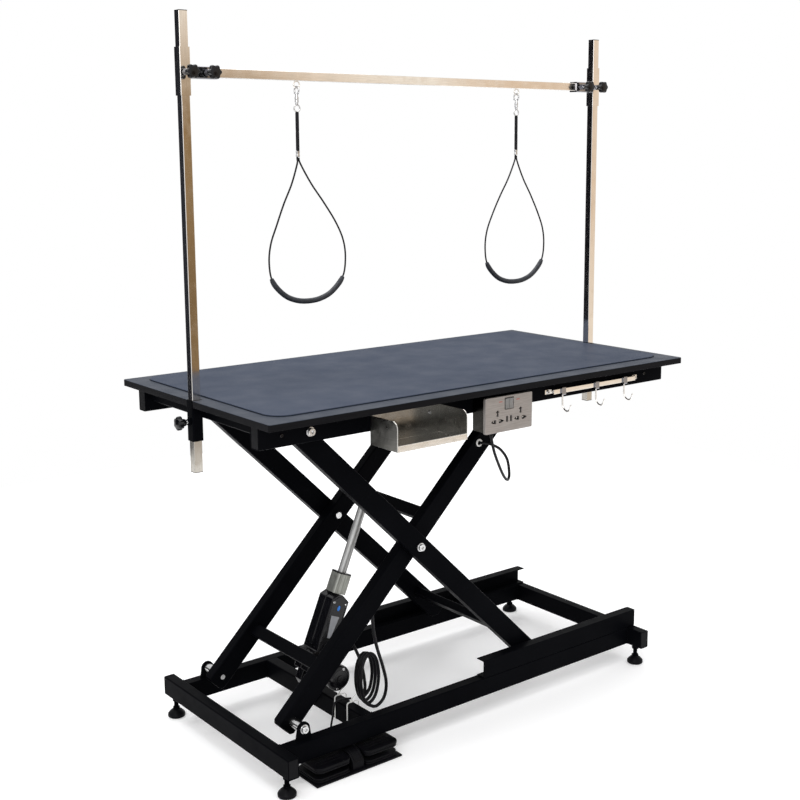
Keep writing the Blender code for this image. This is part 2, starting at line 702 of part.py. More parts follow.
def make_actuator():
    """Gear housing with its motor, the aluminium outer tube, and the rod with its eye."""
    housing = bmesh.new()
    outline = [(-0.018, -0.012), (0.000, -0.028), (0.088, -0.034), (0.092, -0.027),
               (HOUSING_END, -0.027), (HOUSING_END + 0.012, -0.004), (HOUSING_END + 0.012, 0.010),
               (HOUSING_END, 0.0235), (0.070, 0.0235), (0.064, 0.033), (-0.006, 0.030), (-0.018, 0.016)]
    add_prism(housing, outline, -0.0285, 0.0285, along_y)
    node = finish_node("actuator_housing", housing, "black_plastic", ACTUATOR_LOW, ACTUATOR_ROTATION)
    slots = bmesh.new()
    add_pair(slots, (0.0120, 0.0400), (-0.040, 0.0175), (-0.040, 0.040))
    add_round(slots, (0, -0.0140, 0), (0, 1, 0), HOLE_RADIUS, 0.0280, 16)
    bore_length = HOUSING_END + 0.02 - ROD_BORE_START
    add_round(slots, (ROD_BORE_START, 0, 0), (1, 0, 0), ROD_RADIUS + 0.0008, bore_length, 20)
    cut(node, "fork_slots_and_bore", slots, ACTUATOR_ROTATION)

    motor = bmesh.new()
    profile = [(0, 0), (MOTOR_RADIUS, 0), (MOTOR_RADIUS, 0.078), (MOTOR_RADIUS - 0.002, 0.083),
               (MOTOR_RADIUS - 0.009, 0.0885), (0, 0.0885)]
    add_turned(motor, profile, (MOTOR_OFFSET, -0.0288, 0), (0, -1, 0), 28)
    finish_node("actuator_motor", motor, "black_paint", ACTUATOR_LOW, ACTUATOR_ROTATION, smooth=True)

    tube = bmesh.new()
    start = HOUSING_END + 0.0125
    outer = round_rectangle(0.0195, 0.0195, 0.008, 3)
    inner = round_rectangle(ROD_RADIUS + 0.0006, ROD_RADIUS + 0.0006, 0.0075, 3)
    add_ringed_prism(tube, outer, inner, start, OUTER_TUBE_END, lambda a, b, t: (t, b, a))
    finish_node("actuator_tube", tube, "grey_aluminium", ACTUATOR_LOW, ACTUATOR_ROTATION, smooth=True)

    rod = bmesh.new()
    add_round(rod, (start + 0.002, 0, 0), (1, 0, 0), ROD_RADIUS, ACTUATOR_LENGTH - start - 0.012, 20)
    node = finish_node("actuator_rod", rod, "grey_aluminium", ACTUATOR_LOW, ACTUATOR_ROTATION,
                       smooth=True)
    eye = bmesh.new()
    end = ACTUATOR_LENGTH
    outline = [(end - 0.0130, -0.0115), (end - 0.0130, 0.0115)] + arc((end, 0), 0.0115, 90, -90, 8)
    add_prism(eye, outline, -0.0125, 0.0125, along_y)
    weld(node, "rod_eye", eye, ACTUATOR_ROTATION)


# ---------------------------------------------------------------- table
TABLE_ORIGIN = (PIVOT_X, 0, HIGH_PIVOT_Z)
BOARD_BOTTOM = TABLE_TOP - BOARD_THICKNESS
RAIL_TOP = BOARD_BOTTOM - GAP
RAIL_BOTTOM = RAIL_TOP - RAIL_HEIGHT
NOTCH_HALF = SLEEVE_SIDE / 2 + 0.0004
NOTCH_X = POST_X - SLEEVE_SIDE / 2 - 0.0004


def notched_outline(half_x, half_y, radius):
    """Rounded rectangle with a square notch for the post in the middle of each short side."""
    right_upper = [(half_x, NOTCH_HALF)] + arc((half_x - radius, half_y - radius), radius, 0, 90, 3)
    left_upper = [(-x, y) for x, y in reversed(right_upper)]
    upper = [(NOTCH_X, NOTCH_HALF)] + right_upper + left_upper + [(-NOTCH_X, NOTCH_HALF)]
    lower = [(x, -y) for x, y in reversed(upper)]
    return upper + lower


def make_tabletop():
    """Board with a notch for each post, and the mat lying on it."""
    board = bmesh.new()
    outline = notched_outline(TABLE_LENGTH / 2, TABLE_WIDTH / 2, CORNER_RADIUS)
    add_prism(board, outline, BOARD_BOTTOM, TABLE_TOP, along_z)
    finish_node("tabletop_board", board, "board", origin=TABLE_ORIGIN)

    mat = bmesh.new()
    half_x = (MAT_X[1] - MAT_X[0]) / 2
    half_y = (MAT_Y[1] - MAT_Y[0]) / 2
    middle = (MAT_X[0] + half_x, MAT_Y[0] + half_y)
    outline = round_rectangle(half_x, half_y, MAT_CORNER, 8, middle)
    add_prism(mat, outline, TABLE_TOP + GAP, MAT_TOP, along_z)
    finish_node("rubber_mat", mat, "mat_rubber", origin=TABLE_ORIGIN)


CROSS_MEMBER_X = (0.5760, 0.6012)
CROSS_MEMBER_BOTTOM = 0.8010


def add_nut(target, point, axis, radius=0.0075, height=0.006):
    """Welded hexagon nut, reaching a little into the wall behind it."""
    add_round(target, Vector(point) - Vector(axis) * 0.0006, axis, radius, height + 0.0006, 6)


def add_stud_hole(target, point, axis):
    add_round(target, Vector(point) - Vector(axis) * 0.0015, axis, STUD_HOLE, 0.012, 12)


def make_table_frame():
    """Welded frame: two rails, two cross members, roller channels and the post sleeves."""
    inner = RAIL_OUTER_Y - RAIL_WIDTH
    wall = TUBE_WALL
    outside = bmesh.new()
    hollow = bmesh.new()
    add_pair(outside, (inner, RAIL_OUTER_Y), (-RAIL_HALF, RAIL_HALF), (RAIL_BOTTOM, RAIL_TOP))
    add_pair(hollow, (inner + wall, RAIL_OUTER_Y - wall), (-RAIL_HALF - 0.01, RAIL_HALF + 0.01),
             (RAIL_BOTTOM + wall, RAIL_TOP - wall))
    for side in SIDES:
        span = sorted((side * CROSS_MEMBER_X[0], side * CROSS_MEMBER_X[1]))
        add_box(outside, (span[0], -inner - BITE, CROSS_MEMBER_BOTTOM),
                (span[1], inner + BITE, RAIL_TOP))
        add_box(hollow, (span[0] + wall, -inner - 0.01, CROSS_MEMBER_BOTTOM + wall),
                (span[1] - wall - BITE, inner + 0.01, RAIL_TOP - wall))
    frame = finish_node("table_frame", outside, "black_paint", origin=TABLE_ORIGIN)
    cut(frame, "table_frame_hollow", hollow)

    extras = bmesh.new()
    bottom = HIGH_PIVOT_Z - CHANNEL_HEIGHT / 2
    for side in SIDES:
        outline = channel_outline(side, inner + BITE, bottom)
        add_prism(extras, outline, CHANNEL_X[0], CROSS_MEMBER_X[0] + BITE, along_x)
    weld(frame, "table_channels", extras)

    sleeves = bmesh.new()
    bores = bmesh.new()
    half = SLEEVE_SIDE / 2
    bore = SLEEVE_BORE / 2
    for side in SIDES:
        x = side * POST_X
        add_box(sleeves, (x - half, -half, SLEEVE_BOTTOM), (x + half, half, TABLE_TOP))
        add_nut(sleeves, (x + side * half, 0, SLEEVE_KNOB_Z), (side, 0, 0))
        add_box(bores, (x - bore, -bore, SLEEVE_BOTTOM - 0.01), (x + bore, bore, TABLE_TOP + 0.01))
        add_stud_hole(bores, (x + side * half, 0, SLEEVE_KNOB_Z), (side, 0, 0))
    weld(frame, "post_sleeves", sleeves)
    cut(frame, "post_sleeve_bores", bores)
    cut_pivot_holes(frame, "high_pivot")
    for side, word in ((-1, "front"), (1, "back")):
        start = OUTER_ARM_Y[0] - BOLT_TAIL
        bush = (OUTER_ARM_Y[1] + 0.0005, inner - GAP)
        profile = bolt_profile(start, bush, RAIL_OUTER_Y + GAP)
        make_bolt(f"high_pivot_bolt_{word}", PIVOT_X, HIGH_PIVOT_Z, side, profile, TABLE_ORIGIN)


def make_tray():
    """Folded sheet tray: rounded ends, a low front lip, open at the front and the top."""
    tray = bmesh.new()
    y0, y1 = TRAY_Y
    z0, z1 = TRAY_Z
    back_z = z1 + 0.006
    outline = [(y1, z0), (y1, back_z)]
    outline += arc((y0 + TRAY_CORNER, back_z - TRAY_CORNER), TRAY_CORNER, 90, 180, 5) + [(y0, z0)]
    add_prism(tray, outline, *TRAY_X, along_x)
    node = finish_node("tool_tray", tray, "stainless", origin=TABLE_ORIGIN)
    hollow = bmesh.new()
    low = (TRAY_X[0] + SHEET, y0 + SHEET, z0 + SHEET)
    add_box(hollow, low, (TRAY_X[1] - SHEET, y1 - SHEET, z1 + 0.05))
    cut(node, "tray_hollow", hollow)
    mouth = bmesh.new()
    add_box(mouth, (low[0], y0 - 0.02, z0 + TRAY_LIP), (TRAY_X[1] - SHEET, y1 - 0.03, z1 + 0.04))
    cut(node, "tray_mouth", mouth)


ROCKER_Z = (0.7865, 0.8105)
ROCKERS = (("rocker_left", 0.0155, 0.0277), ("rocker_right", 0.0283, 0.0405))
ROCKER_AXIS_Y = PLATE_FACE_Y + 0.0035
SOCKET_BOX_Y = (-0.3035, -0.2643)
SOCKET_BOX_WALL = 0.0015


def make_sockets():
    """Stainless box on the rail, its cover plate with a window, and the two rocker keys."""
    cx, cz = PLATE_CENTRE
    half_x = PLATE_SIZE[0] / 2
    half_z = PLATE_SIZE[1] / 2
    box = bmesh.new()
    rim = 0.003
    add_box(box, (cx - half_x + rim, SOCKET_BOX_Y[0], cz - half_z + rim),
            (cx + half_x - rim, SOCKET_BOX_Y[1], cz + half_z - rim))
    node = finish_node("socket_box", box, "stainless", origin=TABLE_ORIGIN)
    hollow = bmesh.new()
    rim += SOCKET_BOX_WALL
    add_box(hollow, (cx - half_x + rim, SOCKET_BOX_Y[0] - 0.02, cz - half_z + rim),
            (cx + half_x - rim, SOCKET_BOX_Y[1] - SOCKET_BOX_WALL, cz + half_z - rim))
    cut(node, "socket_box_hollow", hollow)

    plate = bmesh.new()
    outer = round_rectangle(half_x, half_z, 0.003, 2, (cx, cz))
    add_prism(plate, outer, PLATE_FACE_Y, SOCKET_BOX_Y[0] - GAP, along_y)
    node = finish_node("socket_plate", plate, "satin_plate", origin=TABLE_ORIGIN)
    window = bmesh.new()
    add_box(window, (ROCKERS[0][1] - 0.0005, -0.33, ROCKER_Z[0] - 0.0008),
            (ROCKERS[1][2] + 0.0005, -0.30, ROCKER_Z[1] + 0.0008))
    cut(node, "rocker_window", window)

    middle = (ROCKER_Z[0] + ROCKER_Z[1]) / 2
    for name, x0, x1 in ROCKERS:
        rocker = bmesh.new()
        outline = [(PLATE_FACE_Y + 0.006, ROCKER_Z[0]), (PLATE_FACE_Y - 0.0022, ROCKER_Z[0]),
                   (PLATE_FACE_Y - 0.0008, middle), (PLATE_FACE_Y - 0.0022, ROCKER_Z[1]),
                   (PLATE_FACE_Y + 0.006, ROCKER_Z[1])]
        add_prism(rocker, outline, x0, x1, along_x)
        finish_node(name, rocker, "grey_plastic", origin=((x0 + x1) / 2, ROCKER_AXIS_Y, middle))


BAR_Y = (-0.2790, -0.2762)
BAR_HALF_HEIGHT = 0.0055
RAIL_FLANGE = 0.018
HOOK_WIRE = 0.0020


def make_hook_rail():
    """Flat bar bent down to the rail at both ends, carrying three sliding hooks."""
    x0, x1 = HOOK_RAIL_X
    front, back = BAR_Y
    wall = back - front
    face = -RAIL_OUTER_Y - GAP
    turn0 = x0 + RAIL_FLANGE
    turn1 = x1 - RAIL_FLANGE
    left = [(x0, face), (x0, face - wall), (turn0, face - wall), (turn0, front)]
    right = [(turn1, front), (turn1, face - wall), (x1, face - wall), (x1, face)]
    under = [(turn1 - wall, face), (turn1 - wall, back), (turn0 + wall, back), (turn0 + wall, face)]
    rail = bmesh.new()
    height = (HOOK_RAIL_Z - BAR_HALF_HEIGHT, HOOK_RAIL_Z + BAR_HALF_HEIGHT)
    add_prism(rail, left + right + under, *height, along_z)
    finish_node("hook_rail", rail, "stainless", origin=TABLE_ORIGIN)
    for index, x in enumerate(HOOK_X):
        make_hook(f"hook_{index + 1}", x)


def make_hook(name, x):
    hook = bmesh.new()
    clear = 0.0005
    front, back = BAR_Y
    outer = rectangle(front - 0.004, back + 0.004, HOOK_RAIL_Z - 0.010, HOOK_RAIL_Z + 0.010)
    inner = rectangle(front - clear, back + clear, HOOK_RAIL_Z - BAR_HALF_HEIGHT - clear,
                      HOOK_RAIL_Z + BAR_HALF_HEIGHT + clear)
    add_ringed_prism(hook, outer, inner, x - 0.0065, x + 0.0065, along_x)
    node = finish_node(name, hook, "chrome", origin=(x, (front + back) / 2, HOOK_RAIL_Z), smooth=True)
    wire = bmesh.new()
    top = HOOK_RAIL_Z - 0.0103
    y = (front + back) / 2
    route = [(x, y, top + 0.002), (x, y, top - 0.012), (x, y - 0.001, top - 0.026),
             (x, y - 0.008, top - 0.036), (x, y - 0.018, top - 0.038), (x, y - 0.026, top - 0.031),
             (x, y - 0.029, top - 0.020)]
    add_wire(wire, smooth_points(route, 0.0045), HOOK_WIRE, 8)
    weld(node, f"{name}_wire", wire)


# ---------------------------------------------------------------- restraint bar
POST_ORIGIN = (0, 0, POST_BOTTOM)
BAR_ORIGIN = (0, 0, BAR_Z)


def make_posts():
    half = POST_SIDE / 2
    for side, word in ((-1, "left"), (1, "right")):
        post = bmesh.new()
        x = side * POST_X
        add_tube(post, (x - half, x + half), (-half, half), (POST_BOTTOM, POST_TOP), along_z, 0.0015)
        finish_node(f"post_{word}", post, "chrome", origin=POST_ORIGIN)


def make_crossbar():
    """Square bar with a wire eye for each noose, and the two clamps at its ends."""
    bar = bmesh.new()
    half = POST_SIDE / 2
    reach = SOCKET_X[1] - 0.002
    add_tube(bar, (-half, half), (BAR_Z - half, BAR_Z + half), (-reach, reach), along_x, 0.0015)
    node = finish_node("crossbar", bar, "chrome", origin=BAR_ORIGIN)
    eyes = bmesh.new()
    for side in SIDES:
        centre = (side * NOOSE_X, 0, EYE_LOW_Z + EYE_RADIUS)
        add_ring(eyes, centre, EYE_RADIUS, EYE_WIRE, (0, 1, 0), 16, 6)
    weld(node, "bar_eyes", eyes)
    for side, word in ((-1, "left"), (1, "right")):
        make_clamp(f"bar_clamp_{word}", side)


def make_clamp(name, side):
    """Square collar round the post, with a socket for the bar's end and two welded nuts."""
    half = COLLAR_SIDE / 2
    wide = SOCKET_SIDE / 2
    x = side * POST_X
    bore = CLAMP_BORE / 2
    collar = bmesh.new()
    add_box(collar, (x - half, -half, COLLAR_BOTTOM), (x + half, half, COLLAR_TOP))
    span = sorted((side * SOCKET_X[0], side * SOCKET_X[1]))
    add_box(collar, (span[0], -wide, BAR_Z - wide), (span[1], wide, BAR_Z + wide))
    add_nut(collar, (side * STAR_X[0], -half, BAR_Z), (0, -1, 0))
    add_nut(collar, (side * STAR_X[1], -wide, BAR_Z), (0, -1, 0))
    node = finish_node(name, collar, "chrome", origin=BAR_ORIGIN)
    bores = bmesh.new()
    add_box(bores, (x - bore, -bore, COLLAR_BOTTOM - 0.01), (x + bore, bore, COLLAR_TOP + 0.01))
    reach = sorted((side * (SOCKET_X[0] - 0.01), side * (SOCKET_X[1] - 0.0012)))
    add_box(bores, (reach[0], -bore, BAR_Z - bore), (reach[1], bore, BAR_Z + bore))
    add_stud_hole(bores, (side * STAR_X[0], -half, BAR_Z), (0, -1, 0))
    add_stud_hole(bores, (side * STAR_X[1], -wide, BAR_Z), (0, -1, 0))
    cut(node, f"{name}_bores", bores)


def star_ring(place, radius, height, lobes=6, depth=0.0034):
    points = []
    for i in range(KNOB_SIDES):
        angle = 2 * math.pi * i / KNOB_SIDES
        reach = radius - depth * (0.5 - 0.5 * math.cos(lobes * angle))
        points.append(place(reach * math.cos(angle), reach * math.sin(angle), height))
    return points


def make_star_knob(name, face, axis):
    """Six-lobed knob with a tapered hub on a threaded stud, clamping against the face."""
    matrix = Matrix.Translation(face) @ to_axis(axis)

    def place(a, b, t):
        return matrix @ Vector((a, b, t))

    def ring(radius, height):
        return star_ring(place, radius, height, depth=0.0)

    knob = bmesh.new()
    add_loft(knob, [ring(0.0030, 0.0002), ring(0.0030, 0.0120), ring(0.0070, 0.0121),
                    ring(0.0095, 0.0200), star_ring(place, STAR_RADIUS - 0.001, 0.0201),
                    star_ring(place, STAR_RADIUS, 0.0212), star_ring(place, STAR_RADIUS, 0.0310),
                    star_ring(place, STAR_RADIUS - 0.002, 0.0330)])
    finish_node(name, knob, "black_plastic", origin=face, smooth=True)


def make_knobs():
    for side, word in ((-1, "left"), (1, "right")):
        make_star_knob(f"knob_collar_{word}", (side * STAR_X[0], -COLLAR_SIDE / 2, BAR_Z), (0, -1, 0))
        make_star_knob(f"knob_bar_{word}", (side * STAR_X[1], -SOCKET_SIDE / 2, BAR_Z), (0, -1, 0))
        sleeve_face = (side * (POST_X + SLEEVE_SIDE / 2), 0, SLEEVE_KNOB_Z)
        make_star_knob(f"knob_sleeve_{word}", sleeve_face, (side, 0, 0))


# ---------------------------------------------------------------- nooses
SNAP_RING = 0.0085
SNAP_WIRE = 0.0018
SNAP_TOP = EYE_LOW_Z + EYE_WIRE + SNAP_WIRE + 0.0003
SNAP_RING_Z = SNAP_TOP - SNAP_RING
SWIVEL_Z = 1.4780
SLEEVE_LOW_Z = 1.3720
FERRULE_LOW_Z = 1.3580
LOOP_SHIFT = {"left": 0.022, "right": 0.0}
PAD_RADIUS = 0.0062
CABLE_RADIUS = 0.0020


def loop_route(word):
    """Noose outline, from the ferrule down one side and up the other, as offsets (x, z)."""
    shift = LOOP_SHIFT[word]
    down = [(-0.0022, 0.0), (-0.0040, -0.018), (-0.034, -0.064), (-0.080, -0.114), (-0.1050, -0.168),
            (-0.1040, -0.222)]
    bottom = [(-0.0960, -0.2710), (-0.0720, -0.3050), (-0.0300, -0.3230), (0.0200, -0.3235),
              (0.0680, -0.3060), (0.0945, -0.2700)]
    up = [(0.1040, -0.220), (0.1040, -0.166), (0.0800, -0.112), (0.036, -0.062), (0.0040, -0.018),
          (0.0022, 0.0)]
    placed = []
    for stretch in (down, bottom, up):
        moved = []
        for x, z in stretch:
            share = min(1.0, -z / 0.16)
            moved.append((x + shift * share, z))
        placed.append(moved)
    return placed


def make_noose(word, x):
    snap = bmesh.new()
    add_ring(snap, (x, 0, SNAP_RING_Z), SNAP_RING, SNAP_WIRE, (1, 0, 0), 16, 6)
    node = finish_node(f"snap_{word}", snap, "chrome", origin=(x, 0, EYE_LOW_Z), smooth=True)
    shank = bmesh.new()
    top = SNAP_RING_Z - SNAP_RING + 0.0005
    add_round(shank, (x, 0, top), (0, 0, -1), 0.0046, top - SWIVEL_Z - GAP, 14)
    weld(node, f"snap_shank_{word}", shank)

    origin = (x, 0, SWIVEL_Z)
    ring = bmesh.new()
    ring_z = SWIVEL_Z - 0.0125
    add_ring(ring, (x, 0, ring_z), 0.0075, 0.0016, (0, 1, 0), 16, 6)
    node = finish_node(f"noose_fittings_{word}", ring, "black_rubber", origin=origin, smooth=True)
    parts = bmesh.new()
    add_round(parts, (x, 0, SWIVEL_Z), (0, 0, -1), 0.0036, 0.0050, 12)
    add_round(parts, (x, 0, ring_z - 0.0075), (0, 0, -1), 0.0040, ring_z - 0.0075 - SLEEVE_LOW_Z, 12)
    ferrule_top = SLEEVE_LOW_Z + BITE
    add_round(parts, (x, 0, ferrule_top), (0, 0, -1), 0.0048, ferrule_top - FERRULE_LOW_Z, 12)
    weld(node, f"noose_sleeve_{word}", parts)

    down, bottom, up = loop_route(word)
    start = FERRULE_LOW_Z - GAP
    whole = [(x + a, 0, start + b) for a, b in down + bottom + up]
    points = smooth_points(whole, 0.012)
    make_cord(f"noose_cable_{word}", points, CABLE_RADIUS, "black_rubber", 2, origin)
    first = nearest(points, whole[len(down)])
    last = nearest(points, whole[len(down) + len(bottom) - 1])
    pad = bmesh.new()
    add_hose(pad, points[first:last + 1], PAD_RADIUS, CABLE_RADIUS + 0.0005)
    finish_node(f"noose_pad_{word}", pad, "black_rubber", origin=origin, smooth=True)


def add_hose(target, places, radius, bore, sides=12):
    """Round hose in the XZ plane, open at both ends."""
    rings = []
    for i, place in enumerate(places):
        before = places[max(i - 1, 0)]
        after = places[min(i + 1, len(places) - 1)]
        heading = (after - before).normalized()
        out = Vector((-heading.z, 0, heading.x))
        side = Vector((0, 1, 0))
        pair = []
        for reach in (radius, bore):
            ring = []
            for k in range(sides):
                angle = 2 * math.pi * k / sides
                outward = math.cos(angle) * out + math.sin(angle) * side
                ring.append(target.verts.new(place + reach * outward))
            pair.append(ring)
        rings.append(pair)
    for lower, upper in zip(rings, rings[1:]):
        for shell in (0, 1):
            for k in range(sides):
                j = (k + 1) % sides
                target.faces.new((lower[shell][k], lower[shell][j], upper[shell][j], upper[shell][k]))
    for outer, inner in (rings[0], rings[-1]):
        for k in range(sides):
            j = (k + 1) % sides
            target.faces.new((outer[k], outer[j], inner[j], inner[k]))


def nearest(points, place):
    return min(range(len(points)), key=lambda i: (points[i] - Vector(place)).length)


# ---------------------------------------------------------------- cables
OUTLET_ROUTE = ((-0.004, -0.286, 0.7355), (-0.003, -0.286, 0.715), (0.006, -0.280, 0.680),
                (0.030, -0.262, 0.632), (0.064, -0.242, 0.598), (0.096, -0.228, 0.586),
                (0.117, -0.218, 0.598), (0.119, -0.208, 0.630), (0.105, -0.199, 0.655),
                (0.086, -0.190, 0.668), (0.072, -0.180, 0.6727), (0.0627, -0.1735, 0.6727))
COIL_CENTRE = (-0.243, 0.130)
COIL_FRONT, COIL_PITCH = -0.122, 0.012
COIL_TURNS = 3
RISER = ((-0.2420, -0.1355, 0.3480), (-0.2410, -0.1355, 0.3100), (-0.2370, -0.1345, 0.2600),
         (-0.2250, -0.1330, 0.2100), (-0.2080, -0.1315, 0.1600), (-0.1970, -0.1300, 0.1150),
         (-0.2020, -0.1280, 0.0800), (-0.2200, -0.1250, 0.0620))
ACTUATOR_LEAD = ((-0.2220, -0.0780, 0.0950), (-0.2160, -0.0540, 0.1450), (-0.2240, -0.0280, 0.1900),
                 (-0.2452, -0.0140, 0.2154), (-0.2604, -0.0120, 0.2219))


def coil_points():
    """Hanging windings of spare cable beside the motor, from bottom to bottom."""
    points = []
    for step in range(8 * COIL_TURNS + 1):
        turn = step / 8
        angle = -math.pi / 2 - 2 * math.pi * turn
        points.append((COIL_CENTRE[0] + (0.037 - 0.0015 * turn) * math.cos(angle),
                       COIL_FRONT + COIL_PITCH * turn,
                       COIL_CENTRE[1] + (0.066 - 0.003 * turn) * math.sin(angle)))
    return points


LIFT_ROUTE = (*RISER, *coil_points(), *ACTUATOR_LEAD)
SWITCH_ROUTE = ((-0.3740, -0.1700, 0.0150), (-0.3740, -0.1560, 0.0150), (-0.3700, -0.1400, 0.0180),
                (-0.3560, -0.1240, 0.0420), (-0.3440, -0.1180, 0.0760), (-0.3380, -0.1160, 0.0980),
                (-0.3240, -0.1150, 0.1020), (-0.3080, -0.1180, 0.1022), (-0.2960, -0.1240, 0.1020))
LIFT_CABLE_RADIUS = 0.0040
SWITCH_CABLE_RADIUS = 0.0025
OUTLET_CABLE_RADIUS = 0.0034


def make_cables():
    make_cord("outlet_cable", smooth_points(OUTLET_ROUTE, 0.012), OUTLET_CABLE_RADIUS, "black_rubber", 2,
              TABLE_ORIGIN)
    make_cord("lift_cable", smooth_points(LIFT_ROUTE, 0.016), LIFT_CABLE_RADIUS, "black_rubber", 3)
    make_cord("switch_cable", smooth_points(SWITCH_ROUTE, 0.008), SWITCH_CABLE_RADIUS, "black_rubber", 2)


def main():
    clear_scene()
    make_root()
    make_base_frame()
    make_floor_channels()
    make_low_pivot_bolts()
    make_feet()
    make_foot_switch()
    make_inner_frame()
    make_outer_frame()
    make_rollers()
    make_actuator()
    make_tabletop()
    make_table_frame()
    make_tray()
    make_sockets()
    make_hook_rail()
    make_posts()
    make_crossbar()
    make_knobs()
    make_noose("left", -NOOSE_X)
    make_noose("right", NOOSE_X)
    make_cables()


main()
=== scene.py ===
"""Looks of an electric grooming table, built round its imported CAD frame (metres, +Z up).

Pieces are drawn in the table's own frame, whose Y axis runs along the middle of the top, and
are moved by SHIFT when they are made.  Lengths repeat the CAD's own dimensions."""

import math

import bmesh
import bpy
from mathutils import Matrix, Vector


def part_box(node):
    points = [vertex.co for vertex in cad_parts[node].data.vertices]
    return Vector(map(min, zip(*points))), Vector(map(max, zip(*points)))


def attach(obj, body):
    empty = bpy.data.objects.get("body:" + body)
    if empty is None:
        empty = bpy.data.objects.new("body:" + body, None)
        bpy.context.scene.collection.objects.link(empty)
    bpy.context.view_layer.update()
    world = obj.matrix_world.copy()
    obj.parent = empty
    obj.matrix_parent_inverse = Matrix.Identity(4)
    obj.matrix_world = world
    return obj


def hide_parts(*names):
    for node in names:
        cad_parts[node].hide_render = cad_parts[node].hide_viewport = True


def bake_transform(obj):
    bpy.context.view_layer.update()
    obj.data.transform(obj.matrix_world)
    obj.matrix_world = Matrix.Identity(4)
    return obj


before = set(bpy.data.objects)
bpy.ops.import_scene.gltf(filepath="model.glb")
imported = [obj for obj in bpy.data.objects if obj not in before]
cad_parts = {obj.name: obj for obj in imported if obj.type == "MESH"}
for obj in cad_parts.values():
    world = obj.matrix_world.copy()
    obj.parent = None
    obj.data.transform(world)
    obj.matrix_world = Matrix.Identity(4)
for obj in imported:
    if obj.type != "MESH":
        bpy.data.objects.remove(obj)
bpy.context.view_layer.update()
board_low, board_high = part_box("tabletop_board")
SHIFT = Vector((0, (board_low.y + board_high.y) / 2, 0))
SIDES = (1, -1)
WORDS = {-1: "front", 1: "back"}
HANDS = ((-1, "left"), (1, "right"))

# lift linkage, as in the CAD
PIVOT_X, LOW_Z, HIGH_Z = -0.489, 0.1195, 0.799
HALF_SPAN = 0.3455
HALF_RISE = (HIGH_Z - LOW_Z) / 2
HALF_ARM = math.hypot(HALF_SPAN, HALF_RISE)
ARM_ANGLE = math.atan2(HALF_RISE, HALF_SPAN)
CENTRE = (PIVOT_X + HALF_SPAN, LOW_Z + HALF_RISE)
ROLLER_X = PIVOT_X + 2 * HALF_SPAN
ARM_END = 0.025
WALL = 0.002
TUBE_CORNER = 0.0032
BEAM_LOW, BEAM_TOP = 0.050, 0.0965
RAIL_LOW, RAIL_TOP = 0.7762, 0.8262
TABLE_TOP = board_high.z
ACTUATOR_LOW = Vector((-0.3335, 0.0, 0.1225))
ACTUATOR_HIGH = Vector((-0.1610, 0.0, 0.5290))
ACTUATOR_LENGTH = (ACTUATOR_HIGH - ACTUATOR_LOW).length
ACTUATOR_ANGLE = math.atan2(ACTUATOR_HIGH.z - ACTUATOR_LOW.z, ACTUATOR_HIGH.x - ACTUATOR_LOW.x)
POST_X = 0.613
BAR_Z = 1.535
NOOSE_X = 0.333
STAR_X = (0.611, 0.560)
PLATE_FACE = -0.312
PLATE_X, PLATE_Z = 0.028, 0.775

OUTLET_ROUTE = ((-0.004, -0.286, 0.7355), (-0.003, -0.286, 0.715), (0.011, -0.280, 0.680),
                (0.046, -0.262, 0.632), (0.080, -0.242, 0.598), (0.104, -0.228, 0.586),
                (0.117, -0.218, 0.598), (0.119, -0.208, 0.630), (0.105, -0.199, 0.655),
                (0.086, -0.190, 0.668), (0.072, -0.180, 0.6727), (0.0627, -0.1735, 0.6727))
COIL_CENTRE = (-0.235, 0.130)
COIL_FRONT, COIL_PITCH = -0.122, 0.012
COIL_TURNS = 3
RISER = ((-0.2420, -0.1355, 0.3480), (-0.2410, -0.1355, 0.3100), (-0.2370, -0.1345, 0.2600),
         (-0.2250, -0.1330, 0.2100), (-0.2080, -0.1315, 0.1600), (-0.1970, -0.1300, 0.1150),
         (-0.2020, -0.1280, 0.0800), (-0.2200, -0.1250, 0.0620))
ACTUATOR_LEAD = ((-0.2220, -0.0780, 0.0950), (-0.2160, -0.0540, 0.1450), (-0.2240, -0.0280, 0.1900),
                 (-0.2452, -0.0140, 0.2154), (-0.2604, -0.0120, 0.2219))


def coil_points():
    """Hanging windings of spare cable beside the motor, from bottom to bottom."""
    points = []
    for step in range(8 * COIL_TURNS + 1):
        turn = step / 8
        angle = -math.pi / 2 - 2 * math.pi * turn
        points.append((COIL_CENTRE[0] + (0.029 - 0.0010 * turn) * math.cos(angle),
                       COIL_FRONT + COIL_PITCH * turn,
                       COIL_CENTRE[1] + (0.066 - 0.003 * turn) * math.sin(angle)))
    return points


SWITCH_ROUTE = ((-0.3740, -0.1700, 0.0150), (-0.3740, -0.1560, 0.0150), (-0.3700, -0.1400, 0.0180),
                (-0.3560, -0.1240, 0.0420), (-0.3440, -0.1180, 0.0760), (-0.3380, -0.1160, 0.0980),
                (-0.3240, -0.1150, 0.1020), (-0.3080, -0.1180, 0.1022), (-0.2960, -0.1240, 0.1020))


